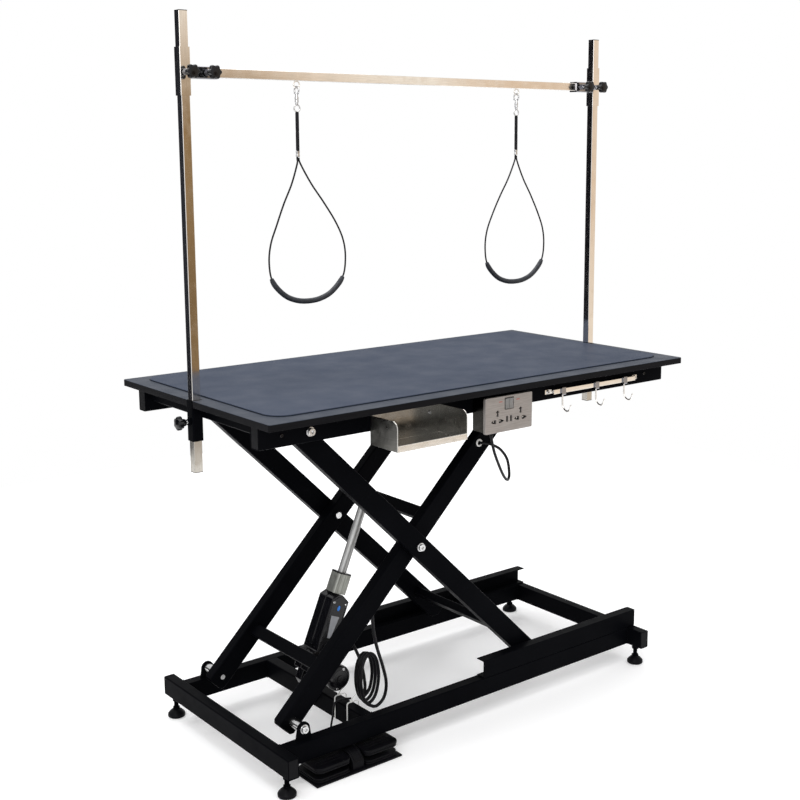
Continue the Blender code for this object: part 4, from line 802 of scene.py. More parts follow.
# ---------------------------------------------------------------- scissor
def make_arm_pair(name, node, y_range, start, stop, cross, origin, turn, extra, first_cut=0.015):
    """Both arms in their own frame: x along the arm, z across it."""
    half, cut = 0.025, 0.015
    flat, first_flat = half - cut, half - first_cut
    outline = [(start, -first_flat), (start + first_cut, -half), (stop - cut, -half), (stop, -flat),
               (stop, flat), (stop - cut, half), (start + first_cut, half), (start, first_flat)]
    shape = bmesh.new()
    for side in SIDES:
        low, high = sorted((side * y_range[0], side * y_range[1]))
        prism(shape, outline, low, high, along_y, 0.0028, 4)
    for place in cross:
        tube(shape, (place - 0.015, place + 0.015), (-0.010, 0.010),
             (-y_range[0] - 0.001, y_range[0] + 0.001),
             along_y, corner=0.003)
        for side in SIDES:
            y = side * (y_range[0] - 0.0004)
            for edge in (-0.0106, 0.0106):
                weld_bead(shape, (place - 0.015, y, edge), (place + 0.015, y, edge))
    extra(shape)
    return add_piece(name, shape, "paint", node.replace("_arm_frame", "_arms"), [node],
                     origin, turn)


def make_arms():
    inner_turn = Matrix.Rotation(-ARM_ANGLE, 4, "Y")
    outer_turn = Matrix.Rotation(ARM_ANGLE, 4, "Y")
    upper_tube = HALF_ARM + 0.078
    step = ACTUATOR_HIGH - Vector((PIVOT_X, 0, LOW_Z))
    eye = (step.x * math.cos(ARM_ANGLE) + step.z * math.sin(ARM_ANGLE),
           step.z * math.cos(ARM_ANGLE) - step.x * math.sin(ARM_ANGLE))

    def inner_extra(shape):
        bracket = [(upper_tube - 0.014, -0.008), (upper_tube - 0.014, 0.008)] + arc(eye, 0.016, 20, 220, 20)
        for side in SIDES:
            plate(shape, bracket, (side * 0.0140, side * 0.0180))
            turned(shape, [(0.006, 0.167), (0.006, 0.2274), (0.0054, 0.2278)], (2 * HALF_ARM, 0, 0),
                   (0, side, 0), 24)

    def outer_extra(shape):
        for side in SIDES:
            turned(shape, [(0.006, 0.197), (0.006, 0.2274), (0.0054, 0.2278)], (HALF_ARM, 0, 0),
                   (0, side, 0), 24)

    make_arm_pair("inner_arms_tubes", "inner_arm_frame", (0.140, 0.168), -ARM_END, 2 * HALF_ARM + ARM_END,
                  (0.135, upper_tube), (PIVOT_X, 0, LOW_Z), inner_turn, inner_extra, 0.007)
    reach = HALF_ARM + ARM_END
    make_arm_pair("outer_arms_tubes", "outer_arm_frame", (0.170, 0.198), -reach, reach, (0.400,),
                  (CENTRE[0], 0, CENTRE[1]), outer_turn, outer_extra)
    for side in SIDES:
        word = WORDS[side]
        bolt = bmesh.new()
        turned(bolt, [(0.0079, 0.1335), (0.0085, 0.1341), (0.0085, 0.1395), (0.006, 0.1395),
                      (0.006, 0.1983)],
               (CENTRE[0], 0, CENTRE[1]), (0, side, 0), 36)
        socket_screw(bolt, (CENTRE[0], side * 0.1983, CENTRE[1]), (0, side, 0), 0.0085, 0.006, 0.0042,
                     (0.0105, 0.0015))
        add_piece(f"centre_pivot_{word}_screw", bolt, "zinc", "outer_arms",
                  [f"centre_bolt_{word}"])
        for level, z in (("lower", LOW_Z), ("upper", HIGH_Z)):
            roller = bmesh.new()
            a, b = 0.2080, 0.2265
            levels = [(0.0064, a), (0.0090, a), (0.0095, a + 0.0010), (0.0150, a + 0.0010),
                      (0.0160, a + 0.0002),
                      (0.0170, a + 0.0002), (0.0175, a + 0.0010), (0.0175, b - 0.0010), (0.0170, b - 0.0002),
                      (0.0160, b - 0.0002), (0.0150, b - 0.0010), (0.0095, b - 0.0010), (0.0090, b),
                      (0.0064, b)]
            matrix = Matrix.Translation((ROLLER_X, 0, z)) @ to_axis((0, side, 0))
            loft(roller, [[matrix @ Vector((p, q, h)) for p, q in circle((0, 0), r, 48)] for r, h in levels],
                 capped=False, closed=True)
            node = f"roller_{level}_{word}"
            add_piece(f"{node}_wheel", roller, "nylon", node, [node])


# ---------------------------------------------------------------- actuator
def make_actuator():
    turn = Matrix.Rotation(-ACTUATOR_ANGLE, 4, "Y")

    def piece(name, shape, look, nodes=(), body="actuator"):
        return add_piece(name, shape, look, body, nodes, ACTUATOR_LOW, turn)

    housing = bmesh.new()
    outline = [(0.0175, -0.0294), (0.088, -0.034), (0.092, -0.027), (0.200, -0.027), (0.212, -0.004),
               (0.212, 0.010), (0.200, 0.0235), (0.070, 0.0235), (0.064, 0.033), (0.0175, 0.0315)]
    for low, high in ((-0.0285, -0.0001), (0.0001, 0.0285)):
        prism(housing, outline, low, high, along_y, 0.0022, 3)
    shell = piece("actuator_housing_shell", housing, "glossy", ["actuator_housing"])
    bore = bmesh.new()
    turned(bore, [(0.0115, 0.150), (0.0115, 0.230)], (0, 0, 0), (1, 0, 0), 48)
    carve(shell, bore)
    housing = bmesh.new()
    tongue = [(-0.018, -0.012), (0.000, -0.028), (0.022, -0.0285), (0.022, 0.0300), (-0.006, 0.030),
              (-0.018, 0.016)]
    prism(housing, tongue, -0.012, 0.012, along_y, 0.0015, 2)
    for side in SIDES:
        y = side * 0.0284
        for i in range(5):
            u = 0.100 + 0.010 * i
            wire(housing, [(u, y, -0.0245), (u, y, -0.0150)], 0.0008, 8)
        wire(housing, [(0.094, y, 0.0200), (0.195, y, 0.0200), (0.206, y, 0.0080), (0.206, y, -0.0030),
                       (0.197, y, -0.0225), (0.094, y, -0.0225)], 0.0009, 8)
    piece("actuator_housing_tongue", housing, "glossy")

    screws = bmesh.new()
    for u, n in ((0.030, -0.024), (0.030, 0.026), (0.080, -0.0275), (0.192, -0.020), (0.192, 0.0165)):
        for side in SIDES:
            socket_screw(screws, (u, side * 0.0283, n), (0, side, 0), 0.0030, 0.0012, 0.0016)
    piece("actuator_housing_screws", screws, "zinc")

    label = bmesh.new()
    prism(label, [(0.106, -0.0050), (0.160, -0.0115), (0.160, 0.0135), (0.106, 0.0050)], -0.0292, -0.0284,
          along_y, 0.0003, 2)
    piece("actuator_blank_label", label, "silver")
    oval = bmesh.new()
    prism(oval, [(0.180 + 0.0068 * a, -0.002 + 0.0036 * b) for a, b in circle((0, 0), 1.0, 36)], -0.0292,
          -0.0284, along_y, 0.0003, 2)
    piece("actuator_blue_oval", oval, "blue")

    motor = bmesh.new()
    profile = [(0.0, 0.0), (0.0290, 0.0), (0.0310, 0.0015), (0.0310, 0.0560), (0.0302, 0.0564),
               (0.0302, 0.0576),
               (0.0310, 0.0580), (0.0310, 0.0780), (0.0306, 0.0800), (0.0292, 0.0826), (0.0262, 0.0858),
               (0.0222, 0.0884), (0.0205, 0.0884), (0.0200, 0.0868), (0.0090, 0.0868), (0.0084, 0.0884),
               (0.0, 0.0884)]
    turned(motor, profile, (0.034, -0.0288, 0), (0, -1, 0), 64)
    piece("actuator_motor_can", motor, "glossy", ["actuator_motor"])
    ends = bmesh.new()
    for u in (0.034 - 0.0235, 0.034 + 0.0235):
        socket_screw(ends, (u, -0.0288 - 0.0855, 0), (0, -1, 0), 0.0032, 0.0030, 0.0016)
    piece("actuator_motor_screws", ends, "zinc")

    sleeve = bmesh.new()
    start = 0.2125
    outer = round_rectangle((-0.0195, 0.0195), (-0.0195, 0.0195), 0.0075, 8)
    inner = round_rectangle((-0.0118, 0.0118), (-0.0118, 0.0118), 0.0075, 8)
    band(sleeve, outer, inner, start, 0.2600, lambda a, b, t: (t, b, a))
    for side in SIDES:
        for n in (-0.0095, 0.0095):
            block(sleeve, (start, side * 0.0195 - 0.0005, n - 0.0016),
                  (0.2600, side * 0.0195 + 0.0005, n + 0.0016),
                  0.0004, 2)
    piece("actuator_outer_tube", sleeve, "tube", ["actuator_tube"])
    seal = bmesh.new()
    rings = []
    for t, grow in ((0.2600, -0.0008), (0.2602, 0.0002), (0.2630, 0.0002), (0.2640, -0.0010)):
        rings.append([(t, b, a) for a, b in round_rectangle((-0.0195 - grow, 0.0195 + grow),
                                                            (-0.0195 - grow, 0.0195 + grow), 0.0078, 8)])
    loft(seal, rings)
    piece("actuator_seal_cap", seal, "glossy")

    rod = bmesh.new()
    end = ACTUATOR_LENGTH
    turned(rod, [(0.0105, start + 0.002), (0.0105, end - 0.0135), (0.0098, end - 0.0128)], (0, 0, 0),
           (1, 0, 0), 56)
    head = [(end - 0.0130, -0.0115), (end - 0.0130, 0.0115)] + arc((end, 0), 0.0115, 90, -90, 24)
    prism(rod, head, -0.0125, 0.0125, along_y, 0.0012, 2)
    piece("actuator_rod_and_eye", rod, "rod", ["actuator_rod"], "actuator_rod")


# ---------------------------------------------------------------- table
def notched_outline(half_x, half_y, radius, clear=0.0):
    half = 0.0132 + clear
    inner_x = POST_X - 0.0132 - clear
    right = [(half_x, half)] + arc((half_x - radius, half_y - radius), radius, 0, 90, 8)
    left = [(-x, y) for x, y in reversed(right)]
    upper = [(inner_x, half)] + right + left + [(-inner_x, half)]
    return upper + [(x, -y) for x, y in reversed(upper)]


def make_top():
    board = bmesh.new()
    prism(board, notched_outline(0.625, 0.323, 0.005), board_low.z, TABLE_TOP - 0.0008, along_z, 0.0006, 2)
    add_piece("board_black_edge", board, "trim", "table", ["tabletop_board"])
    skin = bmesh.new()
    prism(skin, notched_outline(0.6247, 0.3227, 0.005), TABLE_TOP - 0.0010, TABLE_TOP, along_z, 0.0004, 2)
    add_piece("board_laminate", skin, "laminate", "table")
    low, high = (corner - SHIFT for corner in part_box("rubber_mat"))
    mat = bmesh.new()
    outline = round_rectangle((low.x, high.x), (low.y, high.y), 0.045, 20)
    prism(mat, outline, low.z, high.z, along_z, 0.0009, 3)
    add_piece("rubber_mat_sheet", mat, "mat", "table", ["rubber_mat"])
    joint = bmesh.new()
    grown = round_rectangle((low.x - 0.0016, high.x + 0.0016), (low.y - 0.0016, high.y + 0.0016), 0.0466, 20)
    band(joint, grown, outline, TABLE_TOP - 0.0001, TABLE_TOP + 0.0003, along_z)
    add_piece("mat_glue_line", joint, "trim", "table")


def make_table_frame():
    shape = bmesh.new()
    rail = (RAIL_LOW, RAIL_TOP)
    cross = (0.8010, RAIL_TOP)
    for side in SIDES:
        tube(shape, (side * 0.234, side * 0.264), rail, (-0.615, 0.615), along_x)
        tube(shape, (side * 0.5760, side * 0.6012), cross, (-0.2350, 0.2350), along_y)
        for x in (0.5755, 0.6017):
            weld_bead(shape, (side * x, -0.2335, 0.8020), (side * x, -0.2335, RAIL_TOP - 0.001))
            weld_bead(shape, (side * x, 0.2335, 0.8020), (side * x, 0.2335, RAIL_TOP - 0.001))
        outer, inner = side * 0.2350, side * (0.2350 - 0.0272)
        web = side * (0.2350 - 0.0028)
        channel = [(inner, 0.7765), (outer, 0.7765), (outer, 0.8215), (inner, 0.8215), (inner, 0.8187),
                   (web, 0.8187), (web, 0.7793), (inner, 0.7793)]
        prism(shape, channel, 0.026, 0.577, along_x, 0.0010, 2)
        x = side * POST_X
        outer_loop = round_rectangle((x - 0.0128, x + 0.0128), (-0.0128, 0.0128), 0.0026)
        inner_loop = round_rectangle((x - 0.0106, x + 0.0106), (-0.0106, 0.0106), 0.0008)
        band(shape, outer_loop, inner_loop, 0.751, TABLE_TOP, along_z)
        nut(shape, (side * (POST_X + 0.0126), 0, 0.794), (side, 0, 0), 0.0078, 0.0062, 0.0035)
        for y in SIDES:
            weld_bead(shape, (side * 0.6012, y * 0.0133, 0.802),
                      (side * 0.6012, y * 0.0133, RAIL_TOP - 0.001))
    add_piece("table_frame_tubes", shape, "paint", "table", ["table_frame"])

    plugs = bmesh.new()
    for side in SIDES:
        for end in SIDES:
            x, y = sorted((end * 0.6120, end * 0.6147)), sorted((side * 0.2362, side * 0.2618))
            block(plugs, (x[0], y[0], RAIL_LOW + 0.0022), (x[1], y[1], RAIL_TOP - 0.0022), 0.0008, 2)
    add_piece("rail_end_plugs", plugs, "plastic", "table")

    small = bmesh.new()
    for x in (-0.560, 0.140, 0.545):
        socket_screw(small, (x, -0.2642, 0.801), (0, -1, 0), 0.0042, 0.0020, 0.002, dome=True)
    add_piece("rail_black_screws", small, "glossy", "table")

    for side in SIDES:
        word = WORDS[side]
        bolt = bmesh.new()
        profile = [(0.006, 0.1675), (0.006, 0.1985), (0.0106, 0.1985), (0.0115, 0.1994), (0.0115, 0.2328),
                   (0.0106, 0.2337), (0.006, 0.2337), (0.006, 0.2643)]
        turned(bolt, profile, (PIVOT_X, 0, HIGH_Z), (0, side, 0))
        socket_screw(bolt, (PIVOT_X, side * 0.2643, HIGH_Z), (0, side, 0), 0.0085, 0.006, 0.0042,
                     (0.0105, 0.0015))
        add_piece(f"high_pivot_{word}_screw", bolt, "zinc", "table",
                  [f"high_pivot_bolt_{word}"])


def make_tray():
    tray = bmesh.new()
    from_node(tray, "tool_tray", 0.0003, 2)
    low, high = (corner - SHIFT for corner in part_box("tool_tray"))
    for face in tray.faces:
        middle = face.calc_center_median()
        # Inner faces take the darker copy of the steel, painted shade and reflection.
        if middle.y > low.y + 0.010 and (middle.z > low.z + 0.002 or face.normal.z > 0.5):
            face.material_index = 1
        # End faces take the darker, rougher copy: painted shade.
        if middle.x < low.x + 0.0008 or middle.x > high.x - 0.0008:
            face.material_index = 2
    add_piece("tray_sheet", tray, ("sheet", "shaded_inside", "satin"), "table", ["tool_tray"])
    trim = bmesh.new()
    lip = low.z + 0.013
    for z in (lip, low.z + 0.0006):
        wire(trim, [(low.x + 0.0004, low.y + 0.0005, z), (high.x - 0.0004, low.y + 0.0005, z)], 0.0010, 10)
    edge = [(high.y - 0.0292, high.z - 0.0002)]
    edge += arc((low.y + 0.016, high.z - 0.016), 0.0158, 90, 180, 12) + [(low.y + 0.0003, low.z + 0.001)]
    for x in (low.x + 0.0006, high.x - 0.0006):
        wire(trim, [(x, a, b) for a, b in edge], 0.0009, 8)
    add_piece("tray_folded_edges", trim, "sheet", "table")
    screws = bmesh.new()
    for x in (low.x + 0.030, high.x - 0.030):
        socket_screw(screws, (x, high.y - 0.0013, 0.796), (0, -1, 0), 0.0045, 0.0024, 0.002, dome=True)
    add_piece("tray_screws", screws, "zinc", "table")


def socket_holes(x, z):
    """Universal three-pin outlet: one upper slot and two slanted lower ones, each with a round middle."""
    grow = 1.35
    shapes = [[(x + grow * a, z + 0.0085 + grow * b) for a,
               b in ((-0.0022, -0.0050), (0.0022, -0.0050), (0.0022, 0.0010),
                                                   (0.0035, 0.0035), (0.0, 0.0062), (-0.0035, 0.0035),
                                                   (-0.0022, 0.0010))]]
    for side in SIDES:
        pin = ((-0.0068, 0.0), (-0.0035, -0.0020), (0.0010, -0.0033), (0.0052, -0.0033), (0.0052, 0.0033),
               (0.0010, 0.0033), (-0.0035, 0.0020))
        shapes.append([(x + side * (0.0112 - grow * a), z - 0.0095 + grow * b) for a, b in pin])
    return shapes


def make_sockets():
    box = bmesh.new()
    from_node(box, "socket_box", 0.0005, 2)
    add_piece("socket_box_sheet", box, "box", "table", ["socket_box"])
    low, high = (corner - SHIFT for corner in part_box("socket_plate"))
    plate_shape = bmesh.new()
    outline = round_rectangle((low.x, high.x), (low.z, high.z), 0.0030, 6)
    prism(plate_shape, outline, low.y, high.y, along_y, 0.0009, 3)
    cover = add_piece("socket_cover", plate_shape, "plate", "table", ["socket_plate"],
                      sharp=30)
    holes = bmesh.new()
    for x in (PLATE_X - 0.036, PLATE_X + 0.036):
        for shape in socket_holes(x, PLATE_Z - 0.0060):
            prism(holes, shape, low.y - 0.01, low.y + 0.0045, along_y)
    for x in (PLATE_X - 0.0062, PLATE_X + 0.0062):
        prism(holes, round_rectangle((x - 0.0030, x + 0.0030), (0.7550, 0.7690), 0.0006, 2), low.y - 0.01,
              low.y + 0.0045, along_y)
    prism(holes, round_rectangle((0.0148, 0.0412), (0.7857, 0.8113), 0.0008, 2), low.y - 0.01, high.y + 0.01,
          along_y)
    carve(cover, holes)

    dark = bmesh.new()
    for x0, x1, top in ((low.x + 0.004, 0.0135, high.z - 0.004), (0.0425, high.x - 0.004, high.z - 0.004),
                        (0.0135, 0.0425, 0.7810)):
        block(dark, (x0, low.y + 0.0040, low.z + 0.004), (x1, high.y - 0.0003, top), 0.0)
    seam = round_rectangle((low.x + 0.0024, high.x - 0.0024), (low.z + 0.0024, high.z - 0.0024), 0.0025, 4)
    prism(dark, seam, high.y - 0.0001, high.y + 0.0006, along_y)
    frame_out = round_rectangle((0.0140, 0.0420), (0.7844, 0.8126), 0.0010, 3)
    frame_in = round_rectangle((0.0150, 0.0410), (0.7853, 0.8117), 0.0006, 3)
    band(dark, frame_out, frame_in, low.y - 0.0003, low.y + 0.0003, along_y)
    add_piece("socket_dark_inside", dark, "glossy", "table")

    pins = bmesh.new()
    for x in (PLATE_X - 0.036, PLATE_X + 0.036):
        for a, b in ((0, 0.0015), (-0.0098, -0.015), (0.0098, -0.015)):
            block(pins, (x + a - 0.0012, low.y + 0.0028, PLATE_Z + b - 0.0016),
                  (x + a + 0.0012, low.y + 0.0042, PLATE_Z + b + 0.0016), 0.0003, 2)
    add_piece("socket_contacts", pins, "zinc", "table")
    marks = bmesh.new()
    for x in (PLATE_X - 0.0265, PLATE_X + 0.0275):
        block(marks, (x - 0.0050, low.y - 0.0002, 0.8035), (x + 0.0050, low.y + 0.0004, 0.8053), 0.0002, 2)
    add_piece("socket_red_dashes", marks, "red", "table")

    middle = 0.7985
    for name, x0, x1 in (("rocker_left", 0.0157, 0.0276), ("rocker_right", 0.0284, 0.0403)):
        rocker = bmesh.new()
        side = [(PLATE_FACE + 0.006, 0.7867)]
        for i in range(13):
            t = -1 + i / 6
            side.append((PLATE_FACE - 0.0007 - 0.0015 * t * t, middle + 0.0118 * t))
        side.append((PLATE_FACE + 0.006, 0.8103))
        prism(rocker, side, x0, x1, along_x, 0.0005, 2)
        add_piece(f"{name}_key", rocker, "key", name, [name])


def make_hooks():
    rail = bmesh.new()
    from_node(rail, "hook_rail", 0.0006, 2)
    add_piece("hook_bar", rail, "steel_x", "table", ["hook_rail"])
    low, high = (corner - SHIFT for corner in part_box("hook_rail"))
    screws = bmesh.new()
    for x in (low.x + 0.009, high.x - 0.009):
        socket_screw(screws, (x, -0.2671, 0.796), (0, -1, 0), 0.0044, 0.0026, 0.002, (0.0052, 0.0008),
                     dome=True)
    add_piece("hook_bar_screws", screws, "zinc", "table")
    front, back = -0.2790, -0.2762
    for index, x in enumerate((0.236, 0.353, 0.456)):
        clip = bmesh.new()
        outer = round_rectangle((front - 0.004, back + 0.004), (0.786, 0.806), 0.0022, 6)
        inner = round_rectangle((front - 0.0005, back + 0.0005), (0.790, 0.802), 0.0004, 6)
        band(clip, outer, inner, x - 0.0065, x + 0.0065, along_x)
        # The clip takes the same chrome, darkened as a painted reflection.
        add_piece(f"hook_{index + 1}_clip", clip, "chrome", f"hook_{index + 1}")
        clip = bmesh.new()
        y, top = (front + back) / 2, 0.7857
        route = [(x, y, top + 0.002), (x, y, top - 0.012), (x, y - 0.001, top - 0.026),
                 (x, y - 0.008, top - 0.036),
                 (x, y - 0.018, top - 0.038), (x, y - 0.026, top - 0.031), (x, y - 0.029, top - 0.020)]
        points = smooth_points(route, 0.0016)
        sizes = [0.0020] * (len(points) - 2) + [0.0016, 0.0006]
        wire(clip, points, sizes, 16)
        name = f"hook_{index + 1}"
        add_piece(f"{name}_wire", clip, "steel_x", name, [name])


# ---------------------------------------------------------------- restraint bar
def make_posts():
    for side, word in HANDS:
        x = side * POST_X
        post = bmesh.new()
        tube(post, (x - 0.010, x + 0.010), (-0.010, 0.010), (0.7900, 1.6585), along_z, 0.0015, 0.0012)
        add_piece(f"post_{word}_tube", post, "steel_z", "posts", [f"post_{word}"])
        # The stub under the top is painted darker, as shade and reflection.
        foot = bmesh.new()
        tube(foot, (x - 0.010, x + 0.010), (-0.010, 0.010), (0.6815, 0.7900), along_z, 0.0015, 0.0012)
        add_piece(f"post_{word}_foot", foot, "worn", "posts")
        plugs = bmesh.new()
        block(plugs, (x - 0.0100, -0.0100, 1.6575), (x + 0.0100, 0.0100, 1.6600), 0.0008, 2)
        block(plugs, (x - 0.0100, -0.0100, 0.6800), (x + 0.0100, 0.0100, 0.6818), 0.0006, 2)
        add_piece(f"post_{word}_plugs", plugs, "plastic", "posts")


def make_crossbar():
    bar = bmesh.new()
    tube(bar, (-0.010, 0.010), (BAR_Z - 0.010, BAR_Z + 0.010), (-0.5997, 0.5997), along_x, 0.0015, 0.0014)
    for side in SIDES:
        ring(bar, (side * NOOSE_X, 0, 1.5169), 0.0075, 0.0016, (0, 1, 0))
    add_piece("crossbar_tube", bar, "steel_x", "crossbar", ["crossbar"])
    for side, word in HANDS:
        x = side * POST_X
        clamp = bmesh.new()
        outer = round_rectangle((x - 0.0122, x + 0.0122), (-0.0122, 0.0122), 0.0014)
        inner = round_rectangle((x - 0.01035, x + 0.01035), (-0.01035, 0.01035), 0.0008)
        band(clamp, outer, inner, 1.487, 1.586, along_z)
        add_piece(f"clamp_{word}_collar", clamp, "steel_z", "crossbar",
                  [f"bar_clamp_{word}"])
        clamp = bmesh.new()
        tube(clamp, (-0.0131, 0.0131), (BAR_Z - 0.0131, BAR_Z + 0.0131),
             sorted((side * 0.5385, side * 0.6015)),
             along_x, 0.0027, 0.0024)
        nut(clamp, (side * STAR_X[0], -0.0120, BAR_Z), (0, -1, 0), 0.0076, 0.0062, 0.0035)
        nut(clamp, (side * STAR_X[1], -0.0129, BAR_Z), (0, -1, 0), 0.0076, 0.0062, 0.0035)
        for z in (1.5215, 1.5485):
            weld_bead(clamp, (side * 0.6006, -0.011, z), (side * 0.6006, 0.011, z), 0.0012)
        # The socket's darker chrome is a painted dark reflection.
        add_piece(f"clamp_{word}_socket", clamp, "chrome", "crossbar")


def star_knob(node, face, axis, body):
    """Six-lobed grip with a domed cap, a fluted hub and a threaded stud."""
    matrix = Matrix.Translation(face) @ to_axis(axis)
    count = 96

    def level(radius, height, depth=0.0):
        points = []
        for i in range(count):
            angle = 2 * math.pi * i / count
            wave = 0.5 - 0.5 * math.cos(6 * angle)
            reach = radius - depth * wave ** 1.4
            points.append(matrix @ Vector((reach * math.cos(angle), reach * math.sin(angle), height)))
        return points

    knob = bmesh.new()
    rings = [level(0.0072, 0.0112), level(0.0076, 0.0118), level(0.0094, 0.0195),
             level(0.0110, 0.0203, 0.0010)]
    for radius, height, depth in ((0.0136, 0.0205, 0.0024), (0.0146, 0.0209, 0.0030),
                                  (0.0152, 0.0218, 0.0034),
                                  (0.0155, 0.0235, 0.0036), (0.0155, 0.0285, 0.0036),
                                  (0.0152, 0.0300, 0.0034),
                                  (0.0146, 0.0311, 0.0028), (0.0134, 0.0318, 0.0016),
                                  (0.0112, 0.0322, 0.0004),
                                  (0.0104, 0.0319, 0.0), (0.0098, 0.0321, 0.0), (0.0070, 0.0327, 0.0),
                                  (0.0030, 0.0330, 0.0), (0.0004, 0.0330, 0.0)):
        rings.append(level(radius, height, depth))
    loft(knob, rings)
    add_piece(f"{node}_grip", knob, "glossy", body, [node])
    stud = bmesh.new()
    profile = [(0.0026, 0.0002)]
    for i in range(11):
        height = 0.0004 + 0.0010 * i
        profile += [(0.0026, height), (0.0030, height + 0.0005)]
    profile.append((0.0026, 0.0116))
    turned(stud, profile, face, axis, 24)
    add_piece(f"{node}_stud", stud, "zinc", body)


def make_knobs():
    for side, word in HANDS:
        star_knob(f"knob_collar_{word}", (side * STAR_X[0], -0.0122, BAR_Z), (0, -1, 0),
                  f"knob_collar_{word}")
        star_knob(f"knob_bar_{word}", (side * STAR_X[1], -0.0131, BAR_Z), (0, -1, 0), f"knob_bar_{word}")
        star_knob(f"knob_sleeve_{word}", (side * (POST_X + 0.0128), 0, 0.794), (side, 0, 0),
                  f"knob_sleeve_{word}")


# ---------------------------------------------------------------- nooses
EYE_LOW_Z = BAR_Z - 0.010 - 0.015 - 0.0006
SNAP_RING_Z = EYE_LOW_Z + 0.0016 + 0.0018 + 0.0003 - 0.0085
SWIVEL_Z = 1.4780
RING_Z = SWIVEL_Z - 0.0125
SLEEVE_LOW = 1.3720
FERRULE_LOW = 1.3580
LOOP_SHIFT = {"left": 0.022, "right": 0.0}


def loop_route(word):
    """Noose outline from the ferrule, as offsets (x, z), in three stretches."""
    shift = LOOP_SHIFT[word]
    down = [(-0.0022, 0.0), (-0.0040, -0.013), (-0.0260, -0.058), (-0.0540, -0.102), (-0.0800, -0.148),
            (-0.0985, -0.190), (-0.1040, -0.232)]
    bottom = [(-0.0960, -0.2740), (-0.0660, -0.3060), (-0.0340, -0.3205), (0.0, -0.3245), (0.0340, -0.3205),
              (0.0660, -0.3060), (0.0960, -0.2740)]
    up = [(-x, z) for x, z in reversed(down)]
    return [[(x + shift * min(1.0, -z / 0.16), z) for x, z in stretch] for stretch in (down, bottom, up)]


def nearest(points, place):
    return min(range(len(points)), key=lambda i: (points[i] - Vector(place)).length)


def make_noose(x, word):
    snap = bmesh.new()
    ring(snap, (x, 0, SNAP_RING_Z), 0.0085, 0.0018, (1, 0, 0), 48, 14)
    top = SNAP_RING_Z - 0.0080
    depth = top - SWIVEL_Z - 0.0003
    turned(snap, [(0.0028, -0.0010), (0.0034, 0.0), (0.0036, depth * 0.30), (0.0046, depth * 0.42),
                  (0.0046, depth * 0.62), (0.0040, depth * 0.70), (0.0045, depth * 0.80),
                  (0.0046, depth * 0.95),
                  (0.0040, depth)], (x, 0, top), (0, 0, -1), 36)
    wire(snap, [(x, 0.0075, SNAP_RING_Z - 0.004), (x, 0.0100, SNAP_RING_Z - 0.0065)], 0.0011, 10)
    add_piece(f"snap_{word}_hook", snap, "zinc", f"snap_{word}", [f"snap_{word}"])

    body = f"noose_{word}"
    swivel = bmesh.new()
    turned(swivel, [(0.0030, 0.0002), (0.0036, 0.0006), (0.0036, 0.0040), (0.0028, 0.0052)],
           (x, 0, SWIVEL_Z),
           (0, 0, -1), 30)
    ring(swivel, (x, 0, RING_Z), 0.0075, 0.0016, (0, 1, 0), 44, 12)
    add_piece(f"noose_{word}_ring", swivel, "zinc", body)
    sleeve = bmesh.new()
    length = RING_Z - 0.0075 - SLEEVE_LOW
    turned(sleeve, [(0.0030, 0.0), (0.0037, 0.0008), (0.0040, 0.0030), (0.0040, length * 0.45),
                    (0.0037, length * 0.5),
                    (0.0040, length * 0.55), (0.0040, length - 0.001), (0.0034, length)],
                    (x, 0, RING_Z - 0.0075),
           (0, 0, -1), 30)
    hose = add_piece(f"noose_{word}_sleeve", sleeve, "cord", body, [f"noose_fittings_{word}"])
    ferrule = bmesh.new()
    outline = round_rectangle((-0.0048, 0.0048), (-0.0034, 0.0034), 0.0030, 6)
    rings = []
    for z, grow in ((0.0002, -0.0010), (0.0010, 0.0), (0.0045, 0.0), (0.0052, -0.0006), (0.0084, -0.0006),
                    (0.0092, 0.0), (0.0130, 0.0), (0.0138, -0.0010)):
        scale = 1 + grow / 0.0048
        rings.append([(x + a * scale, b * scale, SLEEVE_LOW + 0.001 - z) for a, b in outline])
    loft(ferrule, rings)
    crimp = add_piece(f"noose_{word}_ferrule", ferrule, "zinc", body)

    down, bottom, up = loop_route(word)
    start = FERRULE_LOW - 0.0003
    hidden = [(x, 0, RING_Z - 0.0085), (x, 0, 1.4150), (x, 0, SLEEVE_LOW + 0.004)]
    whole = hidden + [(x + a, 0, start + b) for a, b in down + bottom + up]
    coarse = smooth_points(whole, 0.012)
    curve = bpy.data.curves.new(f"noose_{word}_rope", "CURVE")
    curve.dimensions = "3D"
    curve.bevel_depth = 0.0020
    curve.bevel_resolution = 5
    curve.use_fill_caps = True
    fine = smooth_points(whole, 0.006)
    spline = curve.splines.new("POLY")
    spline.points.add(len(fine) - 1)
    for knot, place in zip(spline.points, fine):
        knot.co = (*place, 1)
    spline.use_smooth = True
    curve.materials.append(LOOK["cord"])
    rope = bpy.data.objects.new(f"noose_{word}_rope", curve)
    rope.location = SHIFT
    bpy.context.collection.objects.link(rope)
    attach(rope, body)
    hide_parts(f"noose_cable_{word}")

    first = nearest(coarse, whole[len(hidden) + len(down)])
    last = nearest(coarse, whole[len(hidden) + len(down) + len(bottom) - 1])
    begin, end = nearest(fine, coarse[first]), nearest(fine, coarse[last])
    pad = bmesh.new()
    stretch = fine[begin:end + 1]
    sizes = [0.0062] * len(stretch)
    for k, share in enumerate((0.72, 0.90, 0.98)):
        sizes[k] = sizes[-1 - k] = 0.0062 * share
    wire(pad, stretch, sizes, 28)
    foam = add_piece(f"noose_{word}_foam", pad, "foam", body, [f"noose_pad_{word}"])


# ---------------------------------------------------------------- cables
def cable_tube(name, route, spacing, radius, slot_node, look="cord"):
    points = smooth_points(route, spacing)
    shape = bmesh.new()
    wire(shape, points, radius, 18)
    item = add_piece(name, shape, look, None, [slot_node], even=False)
    return item, points


